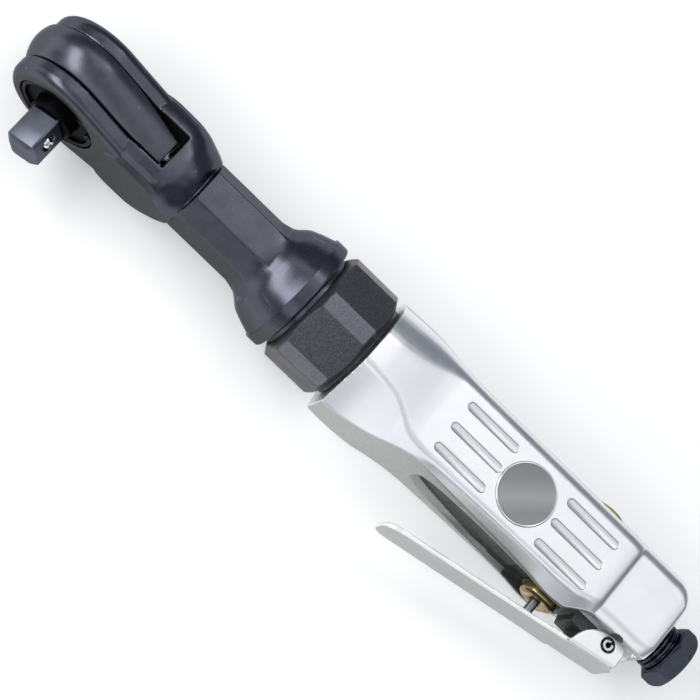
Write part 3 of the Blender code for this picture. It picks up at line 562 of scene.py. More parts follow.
def handle_ring(x, row):
    top, top_z, shoulder, side, crease, bottom, bottom_z = row
    half = [(top, top_z * k / 6) for k in range(6)]
    half += [(shoulder + (top - shoulder) * cos(a), top_z + (side - top_z) * sin(a))
             for a in angles(15)]
    half += [(shoulder + (crease + 1.4 - shoulder) * k / 9, side) for k in range(1, 9)]
    half += eased((shoulder, side), (crease, side), (bottom, bottom_z), 1.5)
    half += eased((crease, side), (bottom, bottom_z), (bottom, 0.0), 0.35)
    half += [(bottom, bottom_z * (1 - k / 6) * 0.9) for k in range(1, 7)]
    return [(x, y, z) for y, z in half] + [(x, y, -z) for y, z in reversed(half[1:-1])]


def grip_casting():
    rows = np.array(HANDLE, float)
    at = steps_between(rows[0, 0], rows[-1, 0], 0.5)
    at = sorted(set(at) | {206.9, 207.1, 207.3, 227.9, 228.1})
    values = through(rows[:, 0], rows[:, 1:], at)
    body = loft("grip_casting", [handle_ring(x, v) for x, v in zip(at, values)])
    join(body, rod("front_lip", SPIGOT_R, 106.0, 112.0))
    for low, high in both_sides(6.6, 9.3):
        cut(body, block("ear_relief", (204.5, -25, low), (226.2, -9.8, high)))
    tongue = [(196.0, -9.0), (196.0, -15.7), (209.0, -16.0), (212.0, -17.2), (217.0, -17.5), (220.0, -17.0),
              (223.5, -15.9), (225.6, -13.2), (226.0, -9.0)]
    join(body, prism("tongue", tongue, -6.6, 6.6))
    mouth = half_plan([(143.2, 0.0), (143.5, 3.5), (145.0, 6.1), (151.0, 8.1),
                       (166.0, 8.5), (182.0, 8.0), (196.0, 7.9), (205.0, 7.9)])
    floor = half_plan([(145.4, 0.0), (147.0, 1.3), (149.5, 2.2), (158.5, 4.4),
                       (172.0, 7.2), (184.0, 7.8), (196.0, 7.8), (204.5, 7.8)])
    rings = []
    for y, plan in ((CHANNEL_FLOOR_Y, floor), (CHANNEL_RIM_Y, mouth), (-30, mouth)):
        rings.append([(x, y, z) for x, z in plan] + [(x, y, -z) for x, z in plan[:0:-1]])
    cut(body, loft("channel", rings))
    plan = [(184.0, 7.2), (186.0, 7.6), (200.2, 7.6), (200.9, 5.2)]
    cut(body, prism("pocket", plan + [(x, -z) for x, z in reversed(plan)], -30, -12.5, "Y"))
    soften(body, GRIP_CELL, 4)

    cut(body, rod("pin_hole", PIN_R + 0.02, -12, 12, "Z", (PIN_X, PIN_Y, 0), 64))
    join(body, rod("spigot", SPIGOT_R, 98.4, 107.0, sides=128, edge=0.4))
    cut(body, turned("bores", [
        (90, 0), (90, MOTOR_BORE_R), (151.5, MOTOR_BORE_R), (151.5, 2.4), (200, 2.4), (200, 0)]))
    cut(body, turned("valve_bore", [
        (-20, 0), (-20, VALVE_BORE_R), (20, VALVE_BORE_R), (20, 0)], "Y", (VALVE_X, 0, 0), 64))
    cut(body, turned("inlet_bore", [
        (VALVE_X, 0), (VALVE_X, 4.6), (211, 4.6), (211, 7.8), (227.6, 7.8), (228.4, 8.4), (240, 8.4), (240, 0),
    ], "X", (0, INLET_Y, 0)))
    for sign in (1, -1):
        for x0, x1 in GROOVES:
            for row in (-1, 0, 1):
                layers = [(-GROOVE_DEPTH, -0.22), (-GROOVE_DEPTH + 0.08, -0.06), (-GROOVE_DEPTH + 0.2, 0.0),
                          (-0.14, 0.03), (-0.05, 0.09), (0.0, 0.2), (0.4, 0.9)]
                rings = []
                for z, grow in layers:
                    outline = capsule(x0 - grow, x1 + grow, GROOVE_MID_Y + row * GROOVE_PITCH, GROOVE_HALF + grow)
                    rings.append([(x, y, sign * (GRIP_Z + z)) for x, y in outline])
                cut(body, loft("groove", rings))
    seat = [(GRIP_Z - 0.3, 0), (GRIP_Z - 0.3, BADGE_R + 0.03), (GRIP_Z - 0.08, BADGE_R + 0.05),
            (GRIP_Z, BADGE_R + 0.14), (GRIP_Z + 1, BADGE_R + 1.3), (GRIP_Z + 1, 0)]
    return cut(body, turned("seat", seat, "Z", (BADGE_X, BADGE_Y, 0), 128))


def in_groove(centre, normal):
    """True for the floors of the grooves."""
    x, _, z = tool_point(centre)
    return abs(abs(z) - (GRIP_Z - GROOVE_DEPTH)) < 0.03 and abs(normal.z) > 0.9 and x < GROOVES[-1][1] + 1


def in_painted_shade(centre, normal):
    """True for the places that get painted shade: behind the nut, round the valve and the pin, and the channel's
    floor.
    """
    x, y, z = tool_point(centre)
    behind_nut = x < 108.45
    by_valve = 183.8 < x < 213 and y < -11.9 and abs(z) < 8.5
    by_pin = hypot(x - PIN_X, y - PIN_Y) < 3.2
    return behind_nut or by_valve or by_pin or CHANNEL_X0 < x < 204 and -13.75 < y < -11.5 and abs(z) < 8.9


def in_channel_wall(centre, normal):
    """True for the walls and rim of the channel, which get painted shade."""
    x, y, z = tool_point(centre)
    inward = normal.z * z < 0 and abs(normal.y) < 0.93 or x < 152 and abs(normal.x) > 0.3
    inside = CHANNEL_X0 < x < 206 and -16.6 < y < -11.9 and abs(z) < 9.2
    return inside and inward and not in_painted_shade(centre, normal)


def badge_plate():
    """A disc with a rounded rim and a very slightly domed face."""
    edge = 0.25
    rim = [(GRIP_Z - 0.1, 0), (GRIP_Z - 0.1, BADGE_R), (GRIP_Z + edge, BADGE_R)]
    rim += [(GRIP_Z + edge + edge * sin(a), BADGE_R - edge * (1 - cos(a))) for a in angles(6, 0.2)]
    rim += [(GRIP_Z + 0.5, BADGE_R - 0.42), (GRIP_Z + 0.46, BADGE_R - 0.5), (GRIP_Z + 0.46, BADGE_R - 0.8)]
    rim += [(GRIP_Z + 0.46 + 0.04 * (1 - (r / 8.2) ** 2), r) for r in np.linspace(8.0, 0, 12)]
    return turned("badge_plate", rim, "Z", (BADGE_X, BADGE_Y, 0), 128)


def in_badge_face(centre, normal):
    """True for the badge's face inside its bright rim."""
    x, y, _ = tool_point(centre)
    return hypot(x - BADGE_X, y - BADGE_Y) < BADGE_R - 0.45 and normal.z > 0.8


# -------- air inlet
def threaded(name, x0, x1, root, depth, pitch, sides=72, per_pitch=12, taper=0.9):
    """A rod with a helical thread that runs out at both ends."""
    count = int((x1 - x0) / pitch * per_pitch)
    rings = []
    for i in range(count + 1):
        x = x0 + (x1 - x0) * i / count
        fade = min(1.0, (x - x0) / taper, (x1 - x) / taper)
        ring = []
        for k in range(sides):
            a = 2 * pi * k / sides
            phase = (x / pitch - k / sides) % 1.0
            crest = min(1.0, max(0.0, 1.6 - 3.2 * abs(phase - 0.5)))
            r = root + depth * crest * max(0.0, fade)
            ring.append((x, r * cos(a), r * sin(a)))
        rings.append(ring)
    return loft(name, rings)


def inlet_fitting():
    body = threaded("inlet_fitting", 212.0, 233.9, 6.85, 0.72, THREAD_PITCH)
    join(body, rod("relief", 6.6, 231.5, 235.0, sides=72))
    corners = [radians(60 * k + 22) for k in range(6)]
    hexagon = [(HEX_CORNER_R * cos(a), HEX_CORNER_R * sin(a)) for a in corners]
    head = prism("hex", hexagon, 234.2, 240.0, "X")
    combine(head, [turned("trim", [
        (233, 0), (233, 8.3), (234.2, 8.7), (235.1, HEX_CORNER_R), (238.2, HEX_CORNER_R), (239.3, 9.25),
        (239.9, 8.6), (240.0, 8.2), (242, 8.0), (242, 0),
    ], sides=144)], "INTERSECT")
    bevel(head, 0.28, 3, 25)
    join(body, head, rod("washer", 8.4, 233.8, 234.5, sides=96, edge=0.15))
    bore = threaded("bore", 213.0, 240.6, 5.55, 0.45, THREAD_PITCH, taper=0.2)
    join(bore, turned("mouth", [(238.9, 0), (238.9, 5.5), (240.4, 6.9), (241, 6.9), (241, 0)], sides=96))
    cut(body, bore)
    body.data.transform(Matrix.Translation((0, INLET_Y, 0)))
    return body


# -------- throttle lever
def throttle_paddle():
    outer, inner = -LEVER_INNER - LEVER_SHEET, -LEVER_INNER
    plan = arc(LEVER_REAR - 3.0, LEVER_HALF_REAR - 3.0, 3.0, 0, pi / 2, 8)
    plan += [(-12.0, LEVER_HALF_REAR), (-22.0, 7.6), (-LEVER_LENGTH + 5.0, LEVER_HALF_TIP)]
    plan += [(-LEVER_LENGTH + 2.6, LEVER_HALF_TIP - 0.6), (-LEVER_LENGTH + 0.8, 4.9), (-LEVER_LENGTH, 2.6)]
    plan += [(x, -z) for x, z in reversed(plan)]
    body = prism("throttle_paddle", plan, outer, inner, "Y")
    ear = [(-11.0, inner - 0.5), (-9.4, -1.6), (-7.6, 0.6), (-5.2, 2.1), (-2.2, 2.9), (0.8, 3.2), (3.4, 3.0),
           (LEVER_REAR, 1.6), (LEVER_REAR + 0.1, -1.0), (LEVER_REAR - 0.4, inner - 0.5)]
    line = [tuple(p) for p in dense(ear, (), 5)]
    for low, high in both_sides(LEVER_HALF_REAR - LEVER_SHEET, LEVER_HALF_REAR - 0.001):
        join(body, prism("ear", line, low, high))
    # the bend between the plate and the ears has a round outside
    r = 1.9
    fillet = [(outer - 1, LEVER_HALF_REAR + 1), (outer + r, LEVER_HALF_REAR + 1)]
    fillet += [(outer + r - r * sin(a), LEVER_HALF_REAR - r + r * cos(a)) for a in angles(10)]
    fillet += [(outer - 1, LEVER_HALF_REAR - r)]
    for sign in (1, -1):
        cut(body, prism("bend", [(y, sign * z) for y, z in fillet], -11.5, 9, "X"))
    soften(body, LEVER_CELL, 4)
    hole_r, rim_r = PIN_R + 0.65, PIN_R + 0.85
    hole = [(5.0, 0), (5.0, hole_r), (8.25, hole_r), (8.45, rim_r), (9.5, rim_r), (9.5, 0)]
    for sign in (1, -1):
        cut(body, turned("hole", [(sign * z, q) for z, q in hole], "Z", sides=64))
    body.data.transform(Matrix.Translation((PIN_X, PIN_Y, 0)) @ Matrix.Rotation(LEVER_OPEN, 4, "Z"))
    return body


def roll_pin():
    """A rolled tube with an open seam."""
    slit, start = radians(20), radians(60)
    outer = arc(PIN_X, PIN_Y, PIN_R - 0.03, start + slit, start + 2 * pi - slit, 49)
    inner = arc(PIN_X, PIN_Y, 0.85, start + 2 * pi - slit, start + slit, 49)
    body = prism("roll_pin", outer + inner, -8.5, 8.5)
    return bevel(body, 0.18, 3, 50)


# -------- throttle valve
def valve_pieces():
    """The brass seat, its rubber ring, the pin that the lever pushes, and the brass cap on the far side."""
    centre = (VALVE_X, 0, 0)
    dome = [(-17.3 + 0.95 * (1 - cos(a)), 4.35 + 1.6 * sin(a)) for a in angles(12)]
    seat = [(-16.6, 1.75), (-17.05, 2.1), (-17.25, 2.7), (-17.3, 3.4)] + dome
    seat += [(-15.9, 6.0), (-14.6, 6.0), (-14.4, 5.85), (-14.2, 5.3), (-7.2, 5.3), (-7.2, 1.75)]
    turn = np.linspace(0, 2 * pi, 16, endpoint=False)
    ring = [(-14.25 + 0.5 * sin(a), 6.15 + 0.5 * cos(a)) for a in turn]
    tip = [(-22.5 + 0.6 * (1 - cos(a)), 0.9 + 0.6 * sin(a)) for a in angles(8)]
    pin = [(-22.5, 0)] + tip
    pin += [(-6.9, 1.5), (-6.9, 4.2), (-5.2, 4.2), (-5.2, 1.5), (-3.6, 1.5), (-3.6, 0)]
    dome = [(17.0 + 1.3 * sin(a), 6.4 * cos(a) ** 0.5) for a in angles(16, 0.05, pi / 2 - 0.02)]
    cap = [(6.8, 0), (6.8, 5.3), (15.3, 5.3), (15.35, 6.4), (17.0, 6.4)] + dome + [(18.3, 0)]
    return [turned(name, profile, "Y", centre, sides) for name, profile, sides in (
        ("valve_seat", seat, 96), ("valve_gasket", ring, 72), ("valve_pin", pin, 64), ("valve_cap", cap, 96))]


def valve_coil():
    """The spring behind the stem, with its two end turns flat."""
    turns, low, high, radius, wire = 6.0, -4.55, 6.1, 3.0, 0.3
    rings = []
    for t in np.linspace(0, turns, int(turns * 40) + 1):
        a, y = 2 * pi * t, low + (high - low) * min(1.0, max(0.0, (t - 0.8) / (turns - 1.6)))
        ring = []
        for b in np.linspace(0, 2 * pi, 14, endpoint=False):
            r = radius + wire * cos(b)
            ring.append((VALVE_X + r * cos(a), y + wire * sin(b), r * sin(a)))
        rings.append(ring)
    return loft("valve_coil", rings)


# -------- finishes
class Finish:
    """A material made of nodes round one Principled shader; sizes of patterns are in millimetres."""

    def __init__(self, name, colour, metallic, roughness, **sockets):
        self.made = bpy.data.materials.new(name)
        self.made.use_nodes = True
        self.tree = self.made.node_tree
        self.shader = self.tree.nodes["Principled BSDF"]
        self.shader.inputs["Base Color"].default_value = (*colour, 1.0)
        self.shader.inputs["Metallic"].default_value = metallic
        self.shader.inputs["Roughness"].default_value = roughness
        for socket, value in sockets.items():
            self.shader.inputs[socket.replace("_", " ")].default_value = value
        self.made.diffuse_color = (*colour, 1.0)
        self.coordinates = self.tree.nodes.new("ShaderNodeTexCoord").outputs["Object"]
        self.height = None

    def node(self, kind, inputs=(), **settings):
        made = self.tree.nodes.new(kind)
        for key, value in settings.items():
            setattr(made, key, value)
        for key, value in dict(inputs).items():
            if hasattr(value, "is_linked"):
                self.tree.links.new(value, made.inputs[key])
            else:
                made.inputs[key].default_value = value
        return made

    def noise(self, size, detail=3.0, stretch=(1, 1, 1), rough=0.55):
        """Noise whose blotches are size millimetres across, longer along an axis where stretch is above 1."""
        scale = [1.0 / (size * MM * s) for s in stretch]
        mapping = self.node("ShaderNodeMapping", {"Vector": self.coordinates, "Scale": scale})
        inputs = {"Vector": mapping.outputs[0], "Scale": 1.0, "Detail": detail, "Roughness": rough}
        return self.node("ShaderNodeTexNoise", inputs).outputs["Fac"]

    def facing_y(self):
        """How squarely the surface faces along the drive, 0 to 1."""
        normal = self.tree.nodes.new("ShaderNodeTexCoord").outputs["Normal"]
        split = self.node("ShaderNodeSeparateXYZ", {"Vector": normal})
        return self.math("ABSOLUTE", split.outputs["Y"])

    def between(self, value, low, high, out_low=0.0, out_high=1.0):
        """Rescales value from low..high to out_low..out_high."""
        inputs = {"Value": value, "From Min": low, "From Max": high, "To Min": out_low, "To Max": out_high}
        return self.node("ShaderNodeMapRange", inputs).outputs["Result"]

    def math(self, operation, a, b=0.0):
        return self.node("ShaderNodeMath", {0: a, 1: b}, operation=operation).outputs[0]

    def mixed(self, factor, a, b):
        mix = self.node("ShaderNodeMix", data_type="RGBA")
        for key, value in ((0, factor), (6, a), (7, b)):
            if hasattr(value, "is_linked"):
                self.tree.links.new(value, mix.inputs[key])
            else:
                mix.inputs[key].default_value = (*value, 1.0) if key else value
        return mix.outputs[2]

    def blend(self, value, low, high, a, b):
        """Colour a where value is below low, b where it's above high."""
        return self.mixed(self.between(value, low, high), a, b)

    def colour(self, value):
        self.tree.links.new(value, self.shader.inputs["Base Color"])
        return self

    def rough(self, value):
        self.tree.links.new(value, self.shader.inputs["Roughness"])
        return self

    def bump(self, height, distance, strength=1.0):
        """Adds a layer of relief, distance millimetres high."""
        inputs = {"Height": height, "Distance": distance * MM, "Strength": strength}
        if self.height:
            inputs["Normal"] = self.height
        self.height = self.node("ShaderNodeBump", inputs).outputs["Normal"]
        self.tree.links.new(self.height, self.shader.inputs["Normal"])
        return self


def polished_alloy():
    """Polished faces; the sides that face along the drive are painted a darker grey as painted shade, and are
    rougher.
    """
    f = Finish("polished_alloy", (0.80, 0.80, 0.82), 1.0, 0.3)
    cloud, grain, fine = f.noise(11.0, 4.0), f.noise(0.35, 2.0), f.noise(0.6, 4.0)
    bright = f.blend(cloud, 0.35, 0.7, (0.79, 0.79, 0.815), (0.86, 0.86, 0.875))
    # painted shade: a darker grey for the faces that look along the drive
    side_shade = f.blend(fine, 0.35, 0.65, (0.40, 0.405, 0.39), (0.50, 0.505, 0.49))
    side = f.between(f.facing_y(), 0.80, 0.90)
    f.colour(f.mixed(side, bright, side_shade))
    f.rough(f.math("ADD", f.between(cloud, 0.3, 0.7, 0.29, 0.34), f.math("MULTIPLY", side, 0.2)))
    f.bump(f.noise(18.0, 1.0), 0.05, 0.3)
    return f.bump(grain, 0.005, 0.4).made


def cast_floor():
    """The duller floors of the grooves."""
    f = Finish("cast_floor", (0.76, 0.76, 0.78), 1.0, 0.36)
    grain = f.noise(0.5, 4.0)
    f.colour(f.blend(grain, 0.3, 0.7, (0.70, 0.70, 0.72), (0.78, 0.78, 0.80)))
    f.rough(f.between(grain, 0.3, 0.7, 0.33, 0.40))
    return f.bump(grain, 0.012, 0.5).made


def black_oxide(name, base, wear_and_highlight, roughness, matte=0.0):
    """Blackened steel; matte is how much duller the flat sides are than the rest."""
    f = Finish(name, base, 1.0, roughness, Specular_Tint=(0.55, 0.56, 0.58, 1.0))
    cloud, grain = f.noise(6.0, 5.0), f.noise(0.22, 3.0)
    point = f.node("ShaderNodeNewGeometry").outputs["Pointiness"]
    tone = f.blend(cloud, 0.3, 0.7, tuple(c * 0.85 for c in base), tuple(c * 1.12 for c in base))
    clouded = f.between(cloud, 0.3, 0.7, roughness - 0.03, roughness + 0.04)
    rough = f.math("ADD", clouded, f.between(grain, 0.3, 0.7, -0.03, 0.04))
    # lighter on sharp edges: partly wear, partly a painted highlight along the edges
    edge = f.math("MULTIPLY", f.between(point, 0.53, 0.62), f.between(f.noise(1.4, 3.0), 0.35, 0.7, 0.15, 0.6))
    if matte:
        side = f.between(f.facing_y(), 0.86, 0.95)
        tone = f.mixed(side, tone, (0.084, 0.092, 0.090))
        rough = f.math("ADD", rough, f.math("MULTIPLY", side, matte))
        edge = f.math("MULTIPLY", edge, f.math("SUBTRACT", 1.0, side))
    f.colour(f.mixed(edge, tone, wear_and_highlight))
    f.rough(rough)
    f.bump(f.noise(6.0, 2.0), 0.025, 0.3)
    return f.bump(grain, 0.008, 0.6).made


def facet_finish():
    """The narrow facets of the nut, rubbed brighter than the rest."""
    f = Finish("phosphate_ground", (0.17, 0.175, 0.20), 0.8, 0.42)
    speck = f.noise(0.5, 4.0)
    f.colour(f.blend(speck, 0.38, 0.66, (0.125, 0.13, 0.15), (0.185, 0.19, 0.215)))
    return f.bump(speck, 0.01, 0.5).made


def phosphate():
    """The grey phosphated nut, a little worn at its edges."""
    f = Finish("phosphate", (0.06, 0.058, 0.066), 0.6, 0.48)
    speck, cloud = f.noise(0.5, 4.0), f.noise(5.0, 3.0)
    tone = f.blend(speck, 0.38, 0.66, (0.048, 0.047, 0.056), (0.100, 0.098, 0.114))
    point = f.node("ShaderNodeNewGeometry").outputs["Pointiness"]
    f.colour(f.mixed(f.between(point, 0.53, 0.64, 0.0, 0.45), tone, (0.26, 0.26, 0.29)))
    f.rough(f.between(cloud, 0.3, 0.7, 0.40, 0.52))
    return f.bump(speck, 0.02, 0.6).made


def drawn_steel(name, colour, roughness, stretch, size=0.25, metallic=1.0):
    """Steel with fine marks drawn along one axis."""
    f = Finish(name, colour, metallic, roughness)
    marks, cloud = f.noise(size, 3.0, stretch), f.noise(4.0, 3.0)
    dark, light = tuple(c * 0.86 for c in colour), tuple(min(1.0, c * 1.08) for c in colour)
    f.colour(f.blend(cloud, 0.3, 0.7, dark, light))
    marked = f.between(marks, 0.3, 0.7, roughness - 0.06, roughness + 0.06)
    f.rough(f.math("ADD", marked, f.between(cloud, 0.3, 0.7, -0.03, 0.03)))
    return f.bump(marks, 0.01, 0.5).made


def wall_shade_casting():
    """The walls of the channel under the lever, painted a darker grey as painted shade, and rougher."""
    f = Finish("wall_shade_casting", (0.28, 0.285, 0.27), 0.9, 0.5)
    speck = f.noise(0.6, 4.0)
    f.colour(f.blend(speck, 0.35, 0.68, (0.33, 0.335, 0.32), (0.42, 0.425, 0.405)))
    return f.bump(speck, 0.03, 0.6).made


def painted_shade_casting():
    """Near black, rough painted shade for the floor of the channel under the lever and the shaded places behind
    the nut and round the valve and the pin.
    """
    f = Finish("painted_shade_casting", (0.05, 0.054, 0.054), 0.5, 0.5)
    speck, cloud = f.noise(0.7, 4.0), f.noise(8.0, 3.0)
    f.colour(f.blend(speck, 0.35, 0.68, (0.036, 0.040, 0.040), (0.088, 0.094, 0.092)))
    f.rough(f.between(cloud, 0.3, 0.7, 0.42, 0.6))
    return f.bump(speck, 0.05, 0.7).made


def zinc_plate():
    """The lever: bright edges and ears, and a plate whose faces along the drive are painted darker as painted
    shade.
    """
    f = Finish("zinc_plate", (0.74, 0.74, 0.73), 1.0, 0.36)
    cloud, grain = f.noise(3.5, 4.0), f.noise(0.4, 3.0)
    bright = f.blend(cloud, 0.3, 0.7, (0.84, 0.84, 0.835), (0.91, 0.91, 0.90))
    # painted shade: the faces that look along the drive are darker
    plate_shade = f.blend(cloud, 0.3, 0.7, (0.38, 0.385, 0.378), (0.45, 0.455, 0.445))
    f.colour(f.blend(f.facing_y(), 0.75, 0.9, bright, plate_shade))
    f.rough(f.between(cloud, 0.3, 0.7, 0.33, 0.40))
    f.bump(f.noise(12.0, 1.0), 0.04, 0.3)
    return f.bump(grain, 0.01, 0.5).made


def old_brass():
    """Brass with brown stains."""
    f = Finish("old_brass", (0.46, 0.36, 0.17), 1.0, 0.3)
    cloud, rings = f.noise(1.6, 4.0), f.noise(0.3, 2.0, (1, 8, 1))
    f.colour(f.blend(cloud, 0.42, 0.72, (0.52, 0.40, 0.19), (0.20, 0.15, 0.075)))
    f.rough(f.between(cloud, 0.3, 0.7, 0.24, 0.42))
    return f.bump(rings, 0.01, 0.6).made


def plain_rubber(name, colour, roughness):
    f = Finish(name, colour, 0.0, roughness)
    grain = f.noise(0.3, 2.0)
    f.colour(f.blend(grain, 0.3, 0.7, tuple(c * 0.8 for c in colour), tuple(c * 1.25 for c in colour)))
    return f.bump(grain, 0.01, 0.5).made


def badge_face():
    """A plain grey plate with a painted diagonal sheen and no mark on it."""
    f = Finish("badge_face", (0.34, 0.34, 0.345), 0.85, 0.45)
    centre = ((BADGE_X - CENTRE_X) * MM, (BADGE_Y - CENTRE_Y) * MM, 0)
    moved = f.node("ShaderNodeMapping", {
        "Vector": f.coordinates, "Location": centre, "Rotation": (0, 0, radians(-48))}, vector_type="TEXTURE")
    x = f.node("ShaderNodeSeparateXYZ", {"Vector": moved.outputs[0]}).outputs["X"]
    # painted sheen: a lighter band across the face
    painted_sheen = f.node("ShaderNodeValToRGB", {"Fac": f.between(x, -0.009, 0.009)})
    stops = painted_sheen.color_ramp.elements
    stops[0].color, stops[1].color = (0.24, 0.24, 0.243, 1), (0.30, 0.30, 0.303, 1)
    for at, grey in ((0.25, 0.27), (0.55, 0.38), (0.8, 0.29)):
        stops.new(at).color = (grey, grey, grey * 1.02, 1)
    f.colour(painted_sheen.outputs["Color"])
    return f.bump(f.noise(0.25, 2.0, (8, 1, 1)), 0.004, 0.5).made


# -------- the tool
alloy, floor_of_groove, coated = polished_alloy(), cast_floor(), phosphate()
oxide = black_oxide("black_oxide", (0.090, 0.092, 0.115), (0.30, 0.30, 0.33), 0.26, matte=0.2)
yoke_finish = black_oxide("oxide_yoke", (0.100, 0.100, 0.122), (0.34, 0.34, 0.37), 0.29)
floor_shade, wall_shade, ground_facet = painted_shade_casting(), wall_shade_casting(), facet_finish()
square_finish = black_oxide("oxide_ground", (0.125, 0.135, 0.165), (0.42, 0.42, 0.45), 0.30)
fitting_finish = black_oxide("oxide_fitting", (0.062, 0.068, 0.088), (0.085, 0.092, 0.118), 0.25)
# near black: painted shade of the recess, for the drive's round boss and the thrust washer
recess_shade_oxide = black_oxide("oxide_recess_shade", (0.008, 0.008, 0.009), (0.03, 0.03, 0.03), 0.5)
steel = drawn_steel("ground_steel", (0.60, 0.60, 0.62), 0.26, (6, 1, 1))
spring_steel = drawn_steel("spring_steel", (0.46, 0.46, 0.48), 0.3, (1, 1, 1))
ring_steel = black_oxide("oxide_ring", (0.035, 0.035, 0.036), (0.5, 0.5, 0.5), 0.35)
pin_steel = drawn_steel("pin_steel", (0.24, 0.24, 0.26), 0.3, (6, 1, 1))
chrome = drawn_steel("bearing_steel", (0.78, 0.78, 0.78), 0.12, (1, 1, 1), 0.8)
zinc, brass = zinc_plate(), old_brass()
rubber = plain_rubber("black_rubber", (0.012, 0.012, 0.013), 0.5)
composite = plain_rubber("vane_composite", (0.16, 0.10, 0.06), 0.6)
face = badge_face()

grip = settle(grip_casting(), "handle", alloy, "polished_alloy", "motor_housing",
              more=[floor_of_groove, floor_shade, wall_shade])
paint(grip, 1, in_groove)
# painted shade in the channel, behind the nut and round the valve and the pin
paint(grip, 2, in_painted_shade)
# painted shade on the channel's walls
paint(grip, 3, in_channel_wall)
settle(head_forging(), "handle", oxide, "black_steel", "ratchet_housing", flat_over=50.0)
settle(yoke_barrel(), "yoke", yoke_finish, "black_steel", "yoke")
anvil = settle(drive_anvil(), "anvil", square_finish, "black_steel", "anvil", more=[recess_shade_oxide])
# the boss in the recess gets the near black painted shade
paint(anvil, 1, in_recess)
settle(detent_ball(), "detent_ball", chrome, "bright_steel", "detent_ball", angle=60)
settle(snap_ring(), "handle", ring_steel, "bright_steel", "retaining_ring")
settle(reverse_knob(), "reverse_lever", square_finish, "black_steel", "reverse_lever")
nut = settle(clamp_nut(), "handle", coated, "phosphate", "clamp_nut", more=[ground_facet])
paint(nut, 1, in_narrow_facet)
badge = settle(badge_plate(), "handle", chrome, "badge_face", "badge", more=[face])
paint(badge, 1, in_badge_face)
settle(inlet_fitting(), "handle", fitting_finish, "black_steel", "inlet_bushing", flat_over=12.0)
settle(throttle_paddle(), "lever", zinc, "zinc_plate", "throttle_lever")
settle(roll_pin(), "handle", steel, "black_steel", "lever_pin")
valve_seat, valve_gasket, valve_pin, valve_cap = valve_pieces()
settle(valve_seat, "handle", brass, "brass", "valve_bushing")
settle(valve_gasket, "handle", rubber, "black_steel", angle=60)
settle(valve_pin, "valve", pin_steel, "bright_steel", "valve_stem")
settle(valve_cap, "handle", brass, "brass", "valve_plug")
coil = settle(valve_coil(), "handle", spring_steel, "bright_steel", "valve_spring", angle=60)
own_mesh(coil)

# the inner parts keep their CAD shape and get finishes of their own
INNER = {
    steel: ["crankshaft", "drive_bushing", "needle_bearing", "ring_gear", "planet_1", "planet_2", "planet_3",
            "gear_spacer", "front_plate", "rear_plate", "cylinder", "rotor", "pawl_front", "pawl_rear",
            "pawl_pin_front", "pawl_pin_rear"],
    chrome: ["front_bearing", "rear_bearing"],
    spring_steel: ["detent_spring", "inlet_screen"],
    recess_shade_oxide: ["thrust_washer"],
    composite: ["vane_1", "vane_2", "vane_3", "vane_4"],
}
for finish, names in INNER.items():
    for name in names:
        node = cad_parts[name]
        for slot in node.material_slots:
            slot.material = finish
        if not name.endswith(("spring", "screen")):
            edge = node.modifiers.new("edge", "BEVEL")
            edge.width, edge.segments, edge.limit_method, edge.angle_limit = 0.12 * MM, 2, "ANGLE", radians(40)

# -------- stage
floor_finish = Finish(
    "pale_floor", (0.84, 0.84, 0.84), 0.0, 0.8, Emission_Color=(1.0, 1.0, 1.0, 1.0), Emission_Strength=0.30)
floor_finish.colour(floor_finish.mixed(floor_finish.noise(60.0, 2.0), (0.83, 0.83, 0.83), (0.85, 0.85, 0.85)))
FLOOR_HALF = 3.0
stage = bpy.data.meshes.new("stage_floor")
stage.from_pydata([(u * FLOOR_HALF, v * FLOOR_HALF, 0) for u, v in ((-1, -1), (1, -1), (1, 1), (-1, 1))],
                  [], [(0, 1, 2, 3)])
stage.materials.append(floor_finish.made)
floor = bpy.data.objects.new("stage_floor", stage)
bpy.context.scene.collection.objects.link(floor)

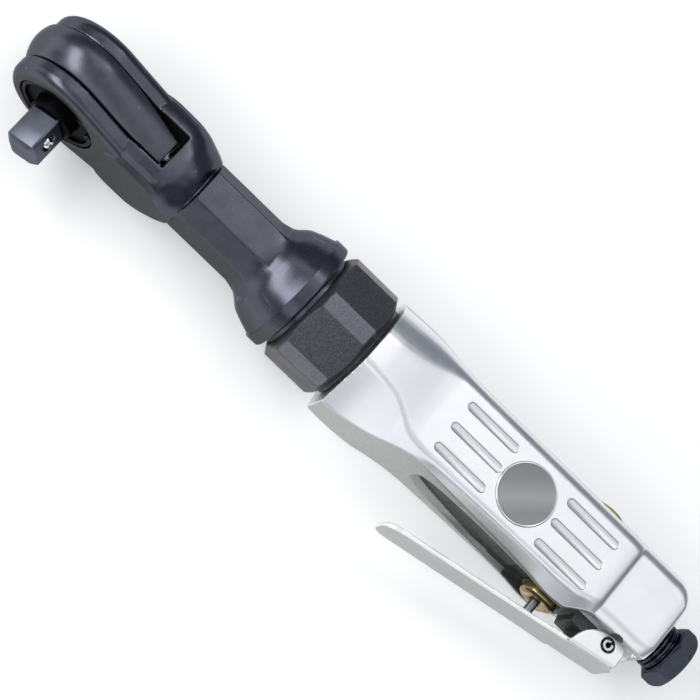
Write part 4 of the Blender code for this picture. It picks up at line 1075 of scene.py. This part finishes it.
world = bpy.data.worlds.new("studio")
bpy.context.scene.world = world
world.use_nodes = True
background = world.node_tree.nodes["Background"]
background.inputs["Color"].default_value = (0.78, 0.88, 1.0, 1)
background.inputs["Strength"].default_value = 0.26


LIGHT_DISTANCE = 1.3


def panel(name, across, along, width, height, radiance):
    """A softbox as the tool sees it: it stands across and along degrees from straight up, towards +X and +Y,
    and is width by height degrees large."""
    tilt, turn = radians(hypot(across, along)), atan2(along, across)
    away = Vector((sin(tilt) * cos(turn), sin(tilt) * sin(turn), cos(tilt)))
    sizes = [2 * LIGHT_DISTANCE * tan(radians(a / 2)) for a in (width, height)]
    light = bpy.data.lights.new(name, "AREA")
    light.shape, light.size, light.size_y = "RECTANGLE", *sizes
    light.energy = radiance * pi * sizes[0] * sizes[1]
    lamp = bpy.data.objects.new(name, light)
    bpy.context.scene.collection.objects.link(lamp)
    lamp.location = LIGHT_DISTANCE * away
    lamp.rotation_mode = "QUATERNION"
    lamp.rotation_quaternion = (-lamp.location).to_track_quat("-Z", "Y")


for row in (
    ("overhead_back", 3, 14, 70, 18, 0.92), ("overhead_right", 26, -13, 26, 36, 0.55),
    ("overhead_front", 2, -46, 70, 28, 0.92), ("lens_gap", -10, -13, 38, 36, 0.42),
    ("key", -46, -14, 50, 20, 5.0), ("strip", 3, 28, 95, 10, 1.15), ("spark", 2, 30, 12, 9, 2.7),
    ("front", -25, -77, 95, 20, 0.35), ("left", -84, 0, 30, 22, 0.9),
):
    panel(*row)

camera = bpy.data.objects.new("camera", bpy.data.cameras.new("camera"))
bpy.context.scene.collection.objects.link(camera)
camera.data.sensor_width, camera.data.lens = 36.0, 152.354
camera.data.clip_start, camera.data.clip_end = 0.01, 20.0
RIGHT, UP = Vector((0.711761, 0.623423, 0.323636)), Vector((-0.688243, 0.711067, 0.143894))
BACK = RIGHT.cross(UP)
CAMERA_AT = Vector((-0.122795, -0.268973, 0.810172))
camera.matrix_world = Matrix.Translation(CAMERA_AT) @ Matrix((RIGHT, UP, BACK)).transposed().to_4x4()
bpy.context.scene.camera = camera
bpy.context.scene.view_settings.view_transform = "Standard"
